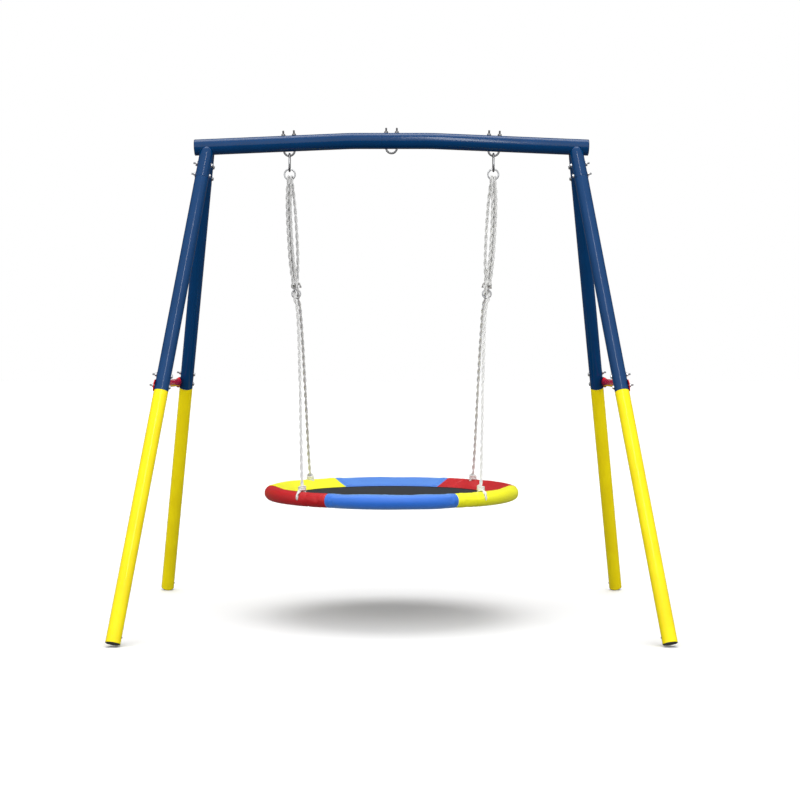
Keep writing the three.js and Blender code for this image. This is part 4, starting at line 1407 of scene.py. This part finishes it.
def make_mat(rings=47, sides=144):
    """A stretched woven disc whose edge is held under the sleeves' thin edges."""
    points, faces = [], []

    def layer(offset):
        base = len(points)
        points.append((0.0, 0.0, mat_height(0.0, 0.0) - offset))
        for r in np.linspace(0, MAT_EDGE, rings + 1)[1:]:
            for angle in round_angles(sides):
                height = mat_height(r, angle) - offset
                points.append((r * math.cos(angle), r * math.sin(angle), height))
        return base

    upper, lower = layer(0.0), layer(MAT_THICKNESS)
    turned = [(j, (j + 1) % sides) for j in range(sides)]
    for base, step in ((upper, 1), (lower, -1)):
        for j, k in turned:
            faces.append((base, base + 1 + j, base + 1 + k)[::step])
            for i in range(rings - 1):
                a, b = base + 1 + i * sides, base + 1 + (i + 1) * sides
                faces.append((a + j, b + j, b + k, a + k)[::step])
    outer = 1 + (rings - 1) * sides
    a, b = upper + outer, lower + outer
    faces += [(a + j, b + j, b + k, a + k) for j, k in turned]
    places = [tuple((points[v][0] * MM, points[v][1] * MM) for v in face) for face in faces]
    shape = (np.array(points), faces, places)
    piece = part("woven_mat", shape, MAT_CLOTH, "mat_fabric", "mat", SMOOTH_CLOTH)


make_legs()
make_beam()
for which in SIDES:
    brace(which)
make_ubolts()
make_hanging()
make_covers()
make_mat()

# The steel ring inside the padding stays the CAD's own.
rim_mesh = frame["nodes"]["seat_ring"].data
rim_mesh.materials.clear()
rim_mesh.materials.append(ZINC)

# ---- floor and light ----


FLOOR_HALF = 60.0
FLOOR_Z = -0.001


def make_floor():
    n = Nodes("studio_floor")
    n.set(Base_Color=n.mix(n.noise(3.0, 2.0), (0.93, 0.93, 0.93, 1), (0.95, 0.95, 0.95, 1)),
          Roughness=0.9, Specular_IOR_Level=0.0)
    mesh = bpy.data.meshes.new("floor")
    corners = [(x * FLOOR_HALF, y * FLOOR_HALF, FLOOR_Z)
               for x, y in ((-1, -1), (1, -1), (1, 1), (-1, 1))]
    mesh.from_pydata(corners, [], [(0, 1, 2, 3)])
    mesh.materials.append(n.material)
    floor = link_new("floor", mesh)
    floor.visible_diffuse = False
    floor.visible_glossy = False


WORLD_MEAN = 0.86                        # brightness to the sides
WORLD_SLOPE = -1.25                      # how it falls from the front to behind
WORLD_BELOW = 0.2
WORLD_LEAST = 0.12
HORIZON_BLUR = 0.08
SUN_STRENGTH = 1.25
SUN_ANGLE = 42.0
SUN_TILT = -7.0
# Long lamps that show only as reflections, before the legs and above the beam:
# name, place, width, length and power.
STRIPS = [
    ("front_strip", Vector((0.5, -3.9, 4.6)), 0.5, 3.2, 75.0),
    ("ceiling_strip", Vector((0.0, 0.9, 4.7)), 6.0, 1.8, 68.0),
]
STRIP_AIM = Vector((0, 0, 1.4))


def make_world():
    """A white room that is bright in front, dim behind and darker below."""
    world = bpy.data.worlds.new("studio")
    bpy.context.scene.world = world
    world.use_nodes = True
    n = Tree(world.node_tree)

    def mixed(factor, a, b):
        return n.plus(n.times(b, factor), n.times(a, n.math("SUBTRACT", 1.0, factor)))

    place = n.add("ShaderNodeTexCoord").outputs["Generated"]
    split = n.add("ShaderNodeSeparateXYZ", {0: place})
    above = n.plus(n.times(split.outputs[1], WORLD_SLOPE), WORLD_MEAN)
    above = n.math("MAXIMUM", above, WORLD_LEAST)
    room = mixed(n.ramp(split.outputs[2], -HORIZON_BLUR, HORIZON_BLUR), WORLD_BELOW, above)
    seen = n.add("ShaderNodeLightPath").outputs["Is Camera Ray"]
    background = n.tree.nodes["Background"]
    n.feed(background.inputs["Strength"], mixed(seen, room, 1.0))
    background.inputs["Color"].default_value = (1.0, 1.0, 1.0, 1.0)


def make_light():
    data = bpy.data.lights.new("overhead", "SUN")
    data.energy = SUN_STRENGTH
    data.angle = math.radians(SUN_ANGLE)
    link_new("overhead", data).rotation_euler = (math.radians(SUN_TILT), 0.0, 0.0)
    for name, place, width, length, power in STRIPS:
        data = bpy.data.lights.new(name, "AREA")
        data.shape = "RECTANGLE"
        data.size, data.size_y, data.energy = width, length, power
        lamp = link_new(name, data)
        lamp.location = place
        lamp.rotation_euler = (STRIP_AIM - place).to_track_quat("-Z", "Y").to_euler()
        lamp.visible_diffuse = False
    bpy.context.scene.view_settings.view_transform = "Standard"


make_floor()
make_world()
make_light()
